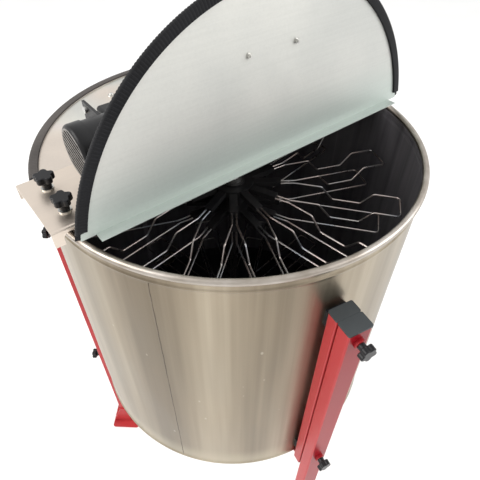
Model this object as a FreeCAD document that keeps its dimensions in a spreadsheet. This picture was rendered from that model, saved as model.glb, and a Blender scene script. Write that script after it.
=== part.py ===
import FreeCAD, Part
import os, re, math
from FreeCAD import Vector, Rotation, Placement

# Radial honey extractor for twelve frames, electric drive.
# Row frame: origin on the floor under the drum axis, +Z up, the bridge lies
# along X with the motor at -X, the front lid is on the -Y side (stored open)
# and the rear lid on the +Y side (stored closed).  Millimetres throughout.

doc = FreeCAD.newDocument("HoneyExtractor")
sheet = doc.addObject("Spreadsheet::Sheet", "Dims")

DIMS = [
    # drum
    ("rim_z", 1110.0), ("drum_rad", 320.0), ("wall_t", 1.2), ("drum_tall", 603.0),
    ("bead_rad", 5.2), ("bead_ring", 319.8), ("swage_rad", 1.8), ("swage_drop", 23.0),
    ("curl_rad", 2.4),
    # bottom
    ("pan_edge_up", 13.0), ("pan_mid_up", 49.0), ("pan_mid_rad", 60.0), ("pan_t", 1.2),
    ("cross_wide", 40.0), ("cross_tall", 10.0), ("cross_long", 628.0), ("post_rad", 20.0),
    ("cup_rad", 24.0), ("cup_tall", 22.0), ("cup_floor", 5.0),
    # outlet
    ("spout_up", 35.0), ("spout_in", 20.0), ("spout_out", 23.0), ("spout_start", 311.0),
    ("spout_end", 366.0), ("gate_flange_t", 6.0), ("gate_flange_rad", 28.0),
    ("gate_pivot_off", 34.0), ("gate_blade_t", 6.0), ("gate_blade_rad", 26.0), ("gate_ear_rad", 10.0),
    # legs
    ("tube_wide", 40.0), ("leg_deep", 25.0), ("bracket_deep", 20.0), ("tube_wall", 1.8),
    ("pad_t", 8.0), ("tube_gap", 2.0), ("leg_top_drop", 91.0), ("low_top_drop", 218.0), ("cap_t", 3.0), ("cap_lip", 0.9),
    ("plug_deep", 14.0), ("foot_t", 4.0), ("foot_wide", 90.0), ("foot_in", 322.0), ("foot_out", 406.0),
    ("foot_hole_r", 6.5), ("foot_hole_at", 392.0), ("gusset_t", 3.0), ("gusset_tall", 86.0), ("gusset_out", 28.0),
    ("boss_rad", 9.0), ("boss_t", 6.0), ("hook_t", 5.0), ("hook_wide", 30.0),
    ("pad_wide", 34.0), ("pad_tall", 32.0),
    # knobs
    ("stud_rad", 4.0), ("stud_hole", 4.4), ("head_rad", 14.5), ("head_t", 10.0), ("neck_rad", 6.8), ("neck_t", 11.0),
    ("lobe_rad", 5.2), ("dent_rad", 4.2), ("leg_head_rad", 13.5), ("leg_head_t", 10.5),
    ("leg_neck_rad", 6.3), ("leg_neck_t", 8.0), ("leg_lobe_rad", 4.9), ("leg_dent_rad", 3.9),
    # bridge
    ("bridge_half", 341.0), ("bridge_wide", 130.0), ("bridge_up", 19.0), ("bridge_t", 2.0), ("bridge_flange", 25.0),
    ("notch_from", 307.0), ("notch_to", 327.0), ("notch_up", 15.0), ("clamp_x", 307.0), ("clamp_y", 30.0),
    ("lug_t", 6.0), ("lug_drop", 11.5), ("washer_rad", 9.0), ("washer_t", 2.0),
    # shaft and bearings
    ("shaft_rad", 9.0), ("fit_gap", 0.05), ("house_flange_rad", 38.0), ("house_flange_t", 6.0),
    ("house_boss_rad", 22.0), ("house_tall", 17.0), ("house_pcd_rad", 30.0),
    # drive
    ("drive_up", 73.0), ("gear_mod", 2.0), ("pinion_teeth", 14.0), ("wheel_teeth", 42.0), ("face_wide", 12.0),
    ("motor_rad", 38.5), ("motor_left", 250.0), ("motor_right", 115.0), ("gearhead_rad", 30.0), ("gearhead_right", 85.0),
    ("vent_rad", 40.0), ("vent_left", 266.0), ("plate_x", 218.0), ("plate_t", 4.0), ("plate_tall", 90.0), ("plate_foot", 26.0),
    ("pshaft_rad", 6.0), ("block_from", 58.0), ("block_to", 72.0), ("block_wide", 50.0), ("block_tall", 74.0),
    ("cover_wide", 104.0), ("cover_tall", 76.0), ("cover_t", 1.5),
    # lids
    ("lid_chord", 66.6), ("lid_up", 5.0), ("lid_t", 1.2), ("lid_rad", 322.0), ("trim_rad", 329.0), ("trim_in", 314.0), ("trim_t", 8.8),
    ("lid_flange", 17.5), ("lid_flange_half", 294.0), ("pin_y", 76.0), ("pin_up", 22.0), ("pin_rad", 2.5),
    ("knuckle_rad", 5.0), ("knuckle_long", 16.0), ("hinge_x", 150.0), ("leaf_t", 2.0), ("lid_open_deg", 92.0),
    ("handle_x", 42.0), ("handle_y", 231.0), ("handle_up", 34.0), ("handle_rad", 6.0),
    # basket
    ("wire_rad", 1.75), ("socket_rad", 89.0), ("socket_turn", -6.75), ("hub_arm_wide", 14.0), ("hub_arm_tall", 10.0),
    ("hub_boss_rad", 22.0), ("loop_drop", 97.5), ("dip_drop", 122.0), ("rest_drop", 141.0),
    ("loop_end", 303.0), ("rest_end", 275.0), ("low_loop_up", 143.0), ("low_rest_up", 100.0),
]
ROWS = {}
for i, (alias, value) in enumerate(DIMS):
    cell = "B%d" % (i + 1)
    sheet.set("A%d" % (i + 1), alias)
    sheet.set(cell, repr(value))
    sheet.setAlias(cell, alias)
    ROWS[alias] = value
doc.recompute()
D = {a: float(getattr(sheet, a)) for a, v in DIMS}
WORDS = re.compile(r"\b(" + "|".join(sorted(D, key=len, reverse=True)) + r")\b")
NODES = {}
count = [0]


def bind(obj, prop, text):
    """Bind a size of an object to cells of the sheet."""
    obj.setExpression(prop, WORDS.sub(lambda m: "Dims." + m.group(1), text))


def pl(x=0, y=0, z=0, axis=None, deg=0):
    return Placement(Vector(x, y, z), Rotation(Vector(*(axis or (0, 0, 1))), deg))


def name(prefix):
    count[0] += 1
    return "%s_%03d" % (prefix, count[0])


def box(L, W, H, place):
    o = doc.addObject("Part::Box", name("Box"))
    bind(o, "Length", L); bind(o, "Width", W); bind(o, "Height", H)
    o.Placement = place
    return o


def soften(base, axis, soft, keep=None):
    """Round the straight edges of a block that run along an axis."""
    base.recompute()
    d = base.Placement.Rotation.multVec(Vector(*axis))
    picks = []
    for i, e in enumerate(base.Shape.Edges):
        v = e.Vertexes[1].Point - e.Vertexes[0].Point
        if v.Length > 1e-6 and abs(abs(v.normalize().dot(d)) - 1) < 1e-6:
            if keep is None or keep(e.Vertexes[0].Point):
                picks.append((i + 1, soft, soft))
    f = doc.addObject("Part::Fillet", name("Round"))
    f.Base = base
    f.Edges = picks
    return f


def cyl(R, H, place):
    o = doc.addObject("Part::Cylinder", name("Cyl"))
    bind(o, "Radius", R); bind(o, "Height", H)
    o.Placement = place
    return o


def cone(R1, R2, H, place):
    o = doc.addObject("Part::Cone", name("Cone"))
    bind(o, "Radius1", R1); bind(o, "Radius2", R2); bind(o, "Height", H)
    o.Placement = place
    return o


def torus(R1, R2, place):
    o = doc.addObject("Part::Torus", name("Torus"))
    bind(o, "Radius1", R1); bind(o, "Radius2", R2)
    o.Placement = place
    return o


def fuse(items):
    if len(items) == 1:
        return items[0]
    o = doc.addObject("Part::MultiFuse", name("Fuse"))
    o.Shapes = items
    return o


def common(a, b):
    o = doc.addObject("Part::MultiCommon", name("Common"))
    o.Shapes = [a, b]
    return o


def cut(base, tools):
    o = doc.addObject("Part::Cut", name("Cut"))
    o.Base = base
    o.Tool = fuse(tools) if isinstance(tools, list) else tools
    return o


def group(items):
    if len(items) == 1:
        return items[0]
    o = doc.addObject("Part::Compound", name("Group"))
    o.Links = items
    return o


def prism(points, depth, place):
    """A sketch-like closed outline extruded along local +Z by a bound depth."""
    poly = doc.addObject("Part::Polygon", name("Outline"))
    poly.Nodes = [Vector(x, y, 0) for x, y in points]
    poly.Close = True
    o = doc.addObject("Part::Extrusion", name("Prism"))
    o.Base = poly
    o.DirMode = "Custom"
    o.Dir = Vector(0, 0, 1)
    o.Solid = True
    bind(o, "LengthFwd", depth)
    o.Placement = place
    return o


def free(shape, place=None):
    o = doc.addObject("Part::Feature", name("Shape"))
    o.Shape = shape
    if place is not None:
        o.Placement = place
    return o


def node(label, obj, place=None):
    obj.Label = label
    if place is not None:
        obj.Placement = place.multiply(obj.Placement)
    NODES[label] = obj
    return obj


def mirror_y(obj):
    o = doc.addObject("Part::Mirroring", name("Mirror"))
    o.Source = obj
    o.Normal = Vector(0, 1, 0)
    o.Base = Vector(0, 0, 0)
    return o


def bent(points, bend):
    """Path through points with a tangent arc of radius bend at each corner."""
    pts = [Vector(*p) for p in points]
    edges = []
    prev = pts[0]
    for i in range(1, len(pts) - 1):
        a, b, c = pts[i - 1], pts[i], pts[i + 1]
        u = (a - b); lu = u.Length; u = u * (1.0 / lu)
        v = (c - b); lv = v.Length; v = v * (1.0 / lv)
        ang = math.acos(max(-1.0, min(1.0, u.dot(v))))
        cutback = bend / math.tan(ang / 2.0)
        cutback = min(cutback, 0.45 * lu, 0.45 * lv)
        p1 = b + u * cutback
        p2 = b + v * cutback
        r = cutback * math.tan(ang / 2.0)
        bis = (u + v); bis = bis * (1.0 / bis.Length)
        centre = b + bis * (r / math.sin(ang / 2.0))
        mid = centre - bis * r
        edges.append(Part.makeLine(prev, p1))
        edges.append(Part.Arc(p1, mid, p2).toShape())
        prev = p2
    edges.append(Part.makeLine(prev, pts[-1]))
    return Part.Wire(edges)


def rod(points, bend, radius):
    """Round bar along a bent path."""
    path = bent(points, bend)
    first = path.Edges[0]
    p0 = first.valueAt(first.FirstParameter)
    t0 = first.tangentAt(first.FirstParameter)
    ring = Part.Wire([Part.makeCircle(radius, p0, t0)])
    return path.makePipeShell([ring], True, False)


rim = D["rim_z"]
base_z = rim - D["drum_tall"]
LEG_TURNS = [-101.0, 19.0, 139.0]
KNOB_Z = [(996.0, 583.0), (996.0, 583.0), (866.0, 392.0)]
spout_z = base_z + D["spout_up"]

# ---------------------------------------------------------------- drum
shell = cut(cyl("drum_rad", "drum_tall-bead_rad", pl(z=base_z)), cyl("drum_rad-wall_t", "drum_tall+20", pl(z=base_z - 10)))
bead = torus("bead_ring", "bead_rad", pl(z=rim - D["bead_rad"]))
swage = torus("drum_rad-0.6", "swage_rad", pl(z=rim - D["swage_drop"]))
curl = torus("drum_rad-0.4", "curl_rad", pl(z=base_z + D["curl_rad"]))
skin = fuse([shell, bead, swage, curl])
holes = [cyl("drum_rad-wall_t", "drum_tall+60", pl(z=base_z - 30)),
         cyl("spout_out", "60", pl(y=290, z=spout_z, axis=(1, 0, 0), deg=-90))]
PAD_Z = [(996.0, 548.0), (996.0, 548.0), (866.0, 548.0)]   # heights of the bracket bolts
for turn, padz in zip(LEG_TURNS, PAD_Z):
    for z in padz:
        p = Placement(Vector(0, 0, 0), Rotation(Vector(0, 0, 1), turn)).multiply(
            Placement(Vector(300, 0, z), Rotation(Vector(0, 1, 0), 90)))
        holes.append(cyl("stud_rad", "60", p))
node("drum_wall", cut(skin, holes))

# pan: a low cone rising to the middle, with a skirt against the wall
inner = D["drum_rad"] - D["wall_t"]
pan_e = base_z + D["pan_edge_up"]
pan_m = base_z + D["pan_mid_up"]


def revolved(label, points):
    """PartDesign body turned from a closed outline whose corners are bound to cells."""
    body = doc.addObject("PartDesign::Body", "Body_" + label)
    sk = body.newObject("Sketcher::SketchObject", "Outline_" + label)
    plane = [f for f in body.Origin.OriginFeatures if f.Role == "XZ_Plane"][0]
    sk.AttachmentSupport = [(plane, "")]
    sk.MapMode = "FlatFace"
    n = len(points)
    num = [(p[0][0], p[1][0]) for p in points]
    import Sketcher
    for i in range(n):
        a, b = num[i], num[(i + 1) % n]
        sk.addGeometry(Part.LineSegment(Vector(a[0], a[1], 0), Vector(b[0], b[1], 0)), False)
    for i in range(n):
        sk.addConstraint(Sketcher.Constraint("Coincident", i, 2, (i + 1) % n, 1))
    for i in range(n):
        for kind, j in (("DistanceX", 0), ("DistanceY", 1)):
            value, text = points[i][j]
            if abs(value) < 1e-9:
                c = Sketcher.Constraint("PointOnObject", i, 1, -2 if j == 0 else -1)
                sk.addConstraint(c)
            else:
                k = sk.addConstraint(Sketcher.Constraint(kind, -1, 1, i, 1, value))
                bind(sk, "Constraints[%d]" % k, text)
    rev = body.newObject("PartDesign::Revolution", "Turn_" + label)
    rev.Profile = (sk, [""])
    rev.ReferenceAxis = (sk, ["V_Axis"])
    rev.Angle = 360
    body.Tip = rev
    return body


def pt(x, y):
    return (x, y)


E_in = (inner, "drum_rad-wall_t")
E_in2 = (inner - D["pan_t"], "drum_rad-wall_t-pan_t")
Z0 = (base_z, "rim_z-drum_tall")
Ze = (pan_e, "rim_z-drum_tall+pan_edge_up")
Zet = (pan_e + D["pan_t"], "rim_z-drum_tall+pan_edge_up+pan_t")
Zm = (pan_m, "rim_z-drum_tall+pan_mid_up")
Zmt = (pan_m + D["pan_t"], "rim_z-drum_tall+pan_mid_up+pan_t")
Rm = (D["pan_mid_rad"], "pan_mid_rad")
AX = (0.0, "0")
pan = revolved("pan", [pt(AX, Zm), pt(Rm, Zm), pt(E_in2, Ze), pt(E_in2, Z0), pt(E_in, Z0), pt(E_in, Zet), pt(Rm, Zmt), pt(AX, Zmt)])
node("drum_bottom", cut(pan, cyl("spout_out", "40", pl(y=D["spout_start"] - 0.1, z=spout_z, axis=(1, 0, 0), deg=-90))))

cross = fuse([box("cross_long", "cross_wide", "cross_tall", pl(-D["cross_long"] / 2, -D["cross_wide"] / 2, base_z)),
              cyl("post_rad", "pan_mid_up", pl(z=base_z))])
node("bottom_crossbar", cross)

cup_z = pan_m + D["pan_t"]
cup = cut(fuse([cyl("cup_rad", "cup_tall", pl(z=cup_z)), cyl("cup_rad+10", "4", pl(z=cup_z))]),
          [cyl("shaft_rad+fit_gap", "cup_tall", pl(z=cup_z + D["cup_floor"]))])
node("bottom_bearing", cup)

# ---------------------------------------------------------------- outlet with swinging gate
SP = dict(axis=(1, 0, 0), deg=-90)   # local +Z becomes +Y
tube = cyl("spout_out", "spout_end-spout_start", pl(y=D["spout_start"], z=spout_z, **SP))
fl = cyl("gate_flange_rad", "gate_flange_t", pl(y=D["spout_end"], z=spout_z, **SP))
ear = cyl("gate_ear_rad", "gate_flange_t", pl(x=-D["gate_pivot_off"], y=D["spout_end"], z=spout_z, **SP))
web = box("gate_pivot_off", "gate_flange_t", "gate_ear_rad*2", pl(-D["gate_pivot_off"], D["spout_end"], spout_z - D["gate_ear_rad"]))
collar = cyl("spout_out+9", "4", pl(y=321.0, z=spout_z, **SP))
bore = cyl("spout_in", "120", pl(y=280, z=spout_z, **SP))
pivot_hole = cyl("3.2", "40", pl(x=-D["gate_pivot_off"], y=350, z=spout_z, **SP))
node("outlet_spout", cut(fuse([tube, fl, ear, web, collar]), [bore, pivot_hole]))

gy = D["spout_end"] + D["gate_flange_t"] + 0.3
blade = fuse([cyl("gate_blade_rad", "gate_blade_t", pl(y=gy, z=spout_z, **SP)),
              cyl("gate_ear_rad", "gate_blade_t", pl(x=-D["gate_pivot_off"], y=gy, z=spout_z, **SP)),
              box("gate_pivot_off", "gate_blade_t", "gate_ear_rad*2", pl(-D["gate_pivot_off"], gy, spout_z - D["gate_ear_rad"])),
              box("14", "gate_blade_t", "30", pl(-7, gy, spout_z + 20)),
              cyl("7", "gate_blade_t+6", pl(y=gy, z=spout_z + 50, **SP))])
node("gate_blade", cut(blade, [cyl("3.05", "40", pl(x=-D["gate_pivot_off"], y=350, z=spout_z, **SP))]))
gx = -D["gate_pivot_off"]
sy = gy + D["gate_blade_t"] + 0.3
screw = fuse([cyl("3", "26", pl(x=gx, y=sy + 4 - 26, z=spout_z, **SP)),
              cyl("8", "5", pl(x=gx, y=sy, z=spout_z, **SP)),
              box("4", "14", "34", pl(gx - 2, sy + 2, spout_z - 17))])
node("gate_screw", screw)

# ---------------------------------------------------------------- legs
bx0 = D["drum_rad"] + D["pad_t"]
bx1 = bx0 + D["bracket_deep"]
lx0 = bx1 + D["tube_gap"]
lx1 = lx0 + D["leg_deep"]
hw = D["tube_wide"] / 2
brackets, legs, caps, pads, feet, bolts, washers = [], [], [], [], [], [], []


def at(turn, x, y, z, axis=None, deg=0):
    return Placement(Vector(0, 0, 0), Rotation(Vector(0, 0, 1), turn)).multiply(pl(x, y, z, axis, deg))


OUT = dict(axis=(0, 1, 0), deg=90)   # local +Z becomes radial
DROPS = ["leg_top_drop", "leg_top_drop", "low_top_drop"]   # the left leg is clamped lower
for turn, kz, drop, padz in zip(LEG_TURNS, KNOB_Z, DROPS, PAD_Z):
    top_z = rim - D[drop]
    low = base_z - D["hook_t"] if kz[1] > base_z else 360.0
    btall = top_z - low
    bt = doc.addObject("Part::Box", name("Box")); bind(bt, "Length", "bracket_deep"); bind(bt, "Width", "tube_wide")
    bind(bt, "Height", "rim_z-%s-%.3f" % (drop, low)); bt.Placement = at(turn, bx0, -hw, low)
    bi = doc.addObject("Part::Box", name("Box")); bind(bi, "Length", "bracket_deep-2*tube_wall"); bind(bi, "Width", "tube_wide-2*tube_wall")
    bind(bi, "Height", "rim_z-%s-%.3f+20" % (drop, low)); bi.Placement = at(turn, bx0 + D["tube_wall"], -hw + D["tube_wall"], low - 10)
    hook = box("pad_t+bracket_deep*0.5+22", "hook_wide", "hook_t", at(turn, bx0 - D["pad_t"] - 22, -D["hook_wide"] / 2, base_z - D["hook_t"]))
    hookwall = cut(hook, [box("bracket_deep-2*tube_wall+0.0", "tube_wide-2*tube_wall", "60", at(turn, bx0 + D["tube_wall"], -hw + D["tube_wall"], base_z - 40))])
    hh = [cyl("stud_hole", "30", at(turn, bx0 + 10, 0, z, **OUT)) for z in kz]
    hb = [cyl("stud_rad", "12", at(turn, bx0 - 4, 0, z, **OUT)) for z in padz]
    brackets.append(fuse([cut(soften(bt, (0, 0, 1), 2.5), [soften(bi, (0, 0, 1), 0.9)] + hh + hb), hookwall]))
    lt = doc.addObject("Part::Box", name("Box")); bind(lt, "Length", "leg_deep"); bind(lt, "Width", "tube_wide")
    bind(lt, "Height", "rim_z-%s-foot_t" % drop); lt.Placement = at(turn, lx0, -hw, D["foot_t"])
    li = doc.addObject("Part::Box", name("Box")); bind(li, "Length", "leg_deep-2*tube_wall"); bind(li, "Width", "tube_wide-2*tube_wall")
    bind(li, "Height", "rim_z"); li.Placement = at(turn, lx0 + D["tube_wall"], -hw + D["tube_wall"], -20)
    lh = [cyl("stud_hole", "60", at(turn, lx0 - 10, 0, z, **OUT)) for z in kz]
    bosses = [cyl("boss_rad", "boss_t", at(turn, lx1, 0, z, **OUT)) for z in kz]
    bh = [cyl("stud_hole", "60", at(turn, lx0 + 5, 0, z, **OUT)) for z in kz]
    legs.append(fuse([cut(soften(lt, (0, 0, 1), 3.0), [soften(li, (0, 0, 1), 1.3)] + lh)] + [cut(b, h) for b, h in zip(bosses, bh)]))
    for x0, deep in ((bx0, "bracket_deep"), (lx0, "leg_deep")):
        lid = box(deep + "+2*cap_lip", "tube_wide+2*cap_lip", "cap_t", at(turn, x0 - D["cap_lip"], -hw - D["cap_lip"], top_z))
        plug = box(deep + "-2*tube_wall", "tube_wide-2*tube_wall", "plug_deep", at(turn, x0 + D["tube_wall"], -hw + D["tube_wall"], top_z - D["plug_deep"]))
        lid = soften(lid, (0, 0, 1), 3.2)
        caps.append(fuse([lid, soften(plug, (0, 0, 1), 1.5)]))
    for z in padz:
        hz = D["pad_tall"] / 2
        pads.append(cut(box("pad_t+6", "pad_wide", "pad_tall", at(turn, bx0 - D["pad_t"] - 6, -D["pad_wide"] / 2, z - hz)),
                        [cyl("drum_rad", "200", pl(z=z - 100)), cyl("stud_rad", "40", at(turn, 310, 0, z, **OUT))]))
        bolts.append(fuse([cyl("9", "4", at(turn, inner - 0.25 - 4, 0, z, **OUT)), cyl("stud_rad", "20", at(turn, inner - 3, 0, z, **OUT)),
                           cyl("6.5", "5", at(turn, bx0 + D["tube_wall"], 0, z, **OUT))]))
    for z in kz:
        washers.append(cut(cyl("washer_rad", "tube_gap", at(turn, bx1, 0, z, **OUT)), [cyl("stud_hole", "30", at(turn, bx1 - 10, 0, z, **OUT))]))
    plate = box("foot_out-foot_in", "foot_wide", "foot_t", at(turn, D["foot_in"], -D["foot_wide"] / 2, 0))
    hole = cyl("foot_hole_r", "foot_t*3", at(turn, D["foot_hole_at"], 0, -D["foot_t"]))
    parts = [cut(soften(plate, (0, 0, 1), 7.0), [hole])]
    for s in (-1, 1):
        y0 = s * (hw + D["gusset_t"] / 2) - D["gusset_t"] / 2
        g = prism([(lx0, D["foot_t"]), (lx1 + D["gusset_out"], D["foot_t"]), (lx1 + D["gusset_out"], D["foot_t"] + 6), (lx1 - 2, D["foot_t"] + D["gusset_tall"]), (lx0, D["foot_t"] + D["gusset_tall"])],
                  "gusset_t", at(turn, 0, y0 + D["gusset_t"], 0, axis=(1, 0, 0), deg=90))
        parts.append(g)
    feet.append(fuse(parts))
node("bracket_tubes", group(brackets))
node("leg_tubes", group(legs))
node("tube_caps", group(caps))
node("leg_pads", group(pads))
node("foot_plates", group(feet))
node("bracket_bolts", group(bolts))

# ---------------------------------------------------------------- bridge
bz = rim + D["bridge_up"]
bh_ = D["bridge_half"]
by = D["bridge_wide"] / 2
slab = box("bridge_half*2", "bridge_wide", "bridge_flange", pl(-bh_, -by, bz - D["bridge_flange"]))
hollow = box("bridge_half*2+20", "bridge_wide-2*bridge_t", "bridge_flange", pl(-bh_ - 10, -by + D["bridge_t"], bz - D["bridge_flange"] - D["bridge_t"]))
tools = [hollow, cyl("shaft_rad+4", "60", pl(z=bz - 30))]
for s in (-1, 1):
    x0 = D["notch_from"] if s > 0 else -D["notch_to"]
    nz = bz - D["bridge_flange"] - 10
    tools.append(box("notch_to-notch_from", "bridge_wide+20", "notch_up+10-6.6", pl(x0, -by - 10, nz)))
    tools.append(cyl("(notch_to-notch_from)/2", "bridge_wide+20", pl(x0 + (D["notch_to"] - D["notch_from"]) / 2, -by - 10, nz + D["notch_up"] + 10 - 6.6, axis=(1, 0, 0), deg=-90)))
    for t in (-1, 1):
        tools.append(cyl("stud_hole", "40", pl(s * D["clamp_x"], t * D["clamp_y"], bz - 20)))
slab = soften(slab, (1, 0, 0), 3.5, lambda p: p.z > bz - 1)
tools[0] = soften(hollow, (1, 0, 0), 1.5, lambda p: p.z > bz - 10)
node("bridge_plate", cut(slab, tools))

lugs = []
lz = rim - D["lug_drop"] - D["lug_t"]
for s in (-1, 1):
    b = common(box("30", "84", "lug_t", pl(s * 303 - 15, -42, lz)), cyl("drum_rad-wall_t-0.3", "60", pl(z=lz - 30)))
    hl = [cyl("stud_hole", "40", pl(s * D["clamp_x"], t * D["clamp_y"], lz - 20)) for t in (-1, 1)]
    lugs.append(cut(b, hl))
    for t in (-1, 1):
        washers.append(cut(cyl("washer_rad", "washer_t", pl(s * D["clamp_x"], t * D["clamp_y"], bz)), [cyl("stud_hole", "20", pl(s * D["clamp_x"], t * D["clamp_y"], bz - 10))]))
node("clamp_lugs", group(lugs))
node("knob_washers", group(washers))


# ---------------------------------------------------------------- star knobs
def star_outline(rad, lobe, dent, n):
    """Closed outline of n lobes joined by tangent hollows."""
    dl = rad - lobe
    h = math.pi / n
    s = lobe + dent
    c = dl * math.cos(h)
    dc = c + math.sqrt(c * c - dl * dl + s * s)

    def p(r, a):
        return Vector(r * math.cos(a), r * math.sin(a), 0)
    edges = []
    for i in range(n):
        a = 2 * h * i
        lobe_c, before, after = p(dl, a), p(dc, a - h), p(dc, a + h)
        t0 = lobe_c + (before - lobe_c) * (lobe / s)
        t1 = lobe_c + (after - lobe_c) * (lobe / s)
        edges.append(Part.Arc(t0, p(rad, a), t1).toShape())
        nxt = p(dl, a + 2 * h)
        t2 = nxt + (after - nxt) * (lobe / s)
        edges.append(Part.Arc(t1, p(dc - dent, a + h), t2).toShape())
    return Part.Wire(edges)


def rounded_head(rad, tall, lobe, dent, lobes, soft):
    """Star head along +Z from z = 0, its rims rounded."""
    star = doc.addObject("Part::Extrusion", name("Star"))
    star.Base = free(star_outline(D[rad], D[lobe], D[dent], lobes))
    star.DirMode = "Custom"
    star.Dir = Vector(0, 0, 1)
    star.Solid = True
    bind(star, "LengthFwd", tall)
    star.recompute()
    f = doc.addObject("Part::Fillet", name("Round"))
    f.Base = star
    f.Edges = [(i + 1, soft, soft) for i, e in enumerate(star.Shape.Edges) if e.BoundBox.ZLength < 1e-6]
    return f


def knob(label, place, big):
    head, tall, nr, nt = ("head_rad", "head_t", "neck_rad", "neck_t") if big else ("leg_head_rad", "leg_head_t", "leg_neck_rad", "leg_neck_t")
    lobe, dent = ("lobe_rad", "dent_rad") if big else ("leg_lobe_rad", "leg_dent_rad")
    star = rounded_head(head, tall, lobe, dent, 5, 1.8 if big else 1.6)
    star.Placement = pl(z=D[nt])
    reach = 46.0 if big else 41.0
    items = [star, cyl(nr, nt + "+1", pl()), cyl("stud_rad", "%.1f+2" % reach, pl(z=-reach))]
    node(label, fuse(items), place)


KN = ["bridge_knob_left_front", "bridge_knob_left_rear", "bridge_knob_right_front", "bridge_knob_right_rear"]
i = 0
for s in (-1, 1):
    for t in (-1, 1):
        knob(KN[i], pl(s * D["clamp_x"], t * D["clamp_y"], bz + D["washer_t"] + 0.3), True)
        i += 1
for nm, turn, kz in zip(("front", "right", "left"), LEG_TURNS, KNOB_Z):
    for which, z in zip(("upper", "lower"), kz):
        knob("leg_knob_%s_%s" % (nm, which), at(turn, lx1 + D["boss_t"] + 0.3, 0, z, **OUT), False)

# ---------------------------------------------------------------- shaft bearing on the bridge
house = cut(fuse([cyl("house_flange_rad", "house_flange_t", pl(z=bz)), cyl("house_boss_rad", "house_tall", pl(z=bz)),
                  cyl("shaft_rad+3.8", "bridge_t+8", pl(z=bz - D["bridge_t"] - 8))]),
            [cyl("shaft_rad+fit_gap", "80", pl(z=bz - 40))] +
            [cyl("3", "20", pl(D["house_pcd_rad"] * math.cos(math.radians(a)), D["house_pcd_rad"] * math.sin(math.radians(a)), bz - 5)) for a in (45, 135, 225, 315)])
node("top_bearing_housing", house)
fast = []
for a in (45, 135, 225, 315):
    x, y = D["house_pcd_rad"] * math.cos(math.radians(a)), D["house_pcd_rad"] * math.sin(math.radians(a))
    fast.append(fuse([cyl("5.5", "4", pl(x, y, bz + D["house_flange_t"])), cyl("3", "house_flange_t+1", pl(x, y, bz))]))

# ---------------------------------------------------------------- drive
ax_z = rim + D["drive_up"]
XN = dict(axis=(0, 1, 0), deg=90)    # local +Z becomes +X


def xcyl(R, x0, x1, z=ax_z, y=0.0):
    return cyl(R, "%.4f" % (x1 - x0), pl(x0, y, z, **XN))


mb = [xcyl("motor_rad", -D["motor_left"], -D["motor_right"]), xcyl("gearhead_rad", -D["motor_right"], -D["gearhead_right"])]
slots = [box("73", "3", "4", Placement(Vector(0, 0, ax_z), Rotation(Vector(1, 0, 0), a)).multiply(pl(-200, -1.5, D["motor_rad"] - 2))) for a in range(0, 360, 15)]
node("motor_body", cut(fuse(mb), slots + [xcyl("pshaft_rad+fit_gap", -D["motor_left"] - 5, -D["gearhead_right"] + 5)]))

# fan cowl: a cup with slanted slats across its end
cowl = cut(xcyl("vent_rad", -D["vent_left"], -D["motor_left"] + 6),
           [xcyl("vent_rad-1.5", -D["vent_left"] + 2, -D["motor_left"] + 20)])
slits = []
k = 0
for off in range(-27, 28, 9):
    half = math.sqrt(max(0.0, 33.0 ** 2 - off ** 2))
    slits.append(box("12", "%.3f" % (2 * half), "4.5", Placement(Vector(-D["vent_left"] - 4, 0, ax_z), Rotation(Vector(1, 0, 0), 22)).multiply(pl(0, -half, off - 2.25))))
node("motor_vent_cover", cut(cowl, slits))

px = D["plate_x"]
mplate = fuse([box("plate_t", "bridge_wide", "plate_tall", pl(-px, -by, bz)),
               box("plate_foot", "bridge_wide", "plate_t", pl(-px, -by, bz))])
mholes = [xcyl("motor_rad", -px - 20, -px + 40)] + [cyl("3", "20", pl(-px + 16, y, bz - 5)) for y in (-50, 50)]
node("motor_bracket", cut(mplate, mholes))
for y in (-50, 50):
    fast.append(fuse([cyl("5.5", "4", pl(-px + 16, y, bz + D["plate_t"])), cyl("3", "plate_t+1", pl(-px + 16, y, bz))]))
for y in (-54, 54):
    fast.append(fuse([xcyl("5", -px - 3.5, -px, z=bz + D["plate_tall"] - 9, y=y)]))

blk = fuse([box("block_to-block_from", "block_wide", "block_tall", pl(-D["block_to"], -D["block_wide"] / 2, bz)),
            box("block_to-block_from+0", "block_wide+24", "6", pl(-D["block_to"], -D["block_wide"] / 2 - 12, bz))])
node("pinion_bearing_block", cut(blk, [xcyl("pshaft_rad+fit_gap", -100, -40)]))
for y in (-31, 31):
    fast.append(cyl("4.5", "4", pl(-(D["block_to"] + D["block_from"]) / 2, y, bz + 6)))
node("bridge_bolts", group(fast))

tb = soften(box("60", "24", "44", pl(-200, 38.5, ax_z - 22)), (0, 1, 0), 5.0)
node("terminal_box", cut(tb, [xcyl("motor_rad", -210, -130)]))
node("cable_gland", cut(fuse([xcyl("7", -140, -132, y=51), xcyl("5.5", -132, -120, y=51)]), [xcyl("3.2", -136, -110, y=51)]))

m = D["gear_mod"]
z1, z2 = D["pinion_teeth"], D["wheel_teeth"]
r1, r2 = m * z1 / 2, m * z2 / 2
L = math.hypot(r1, r2)
scale = (L - D["face_wide"]) / L


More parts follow.
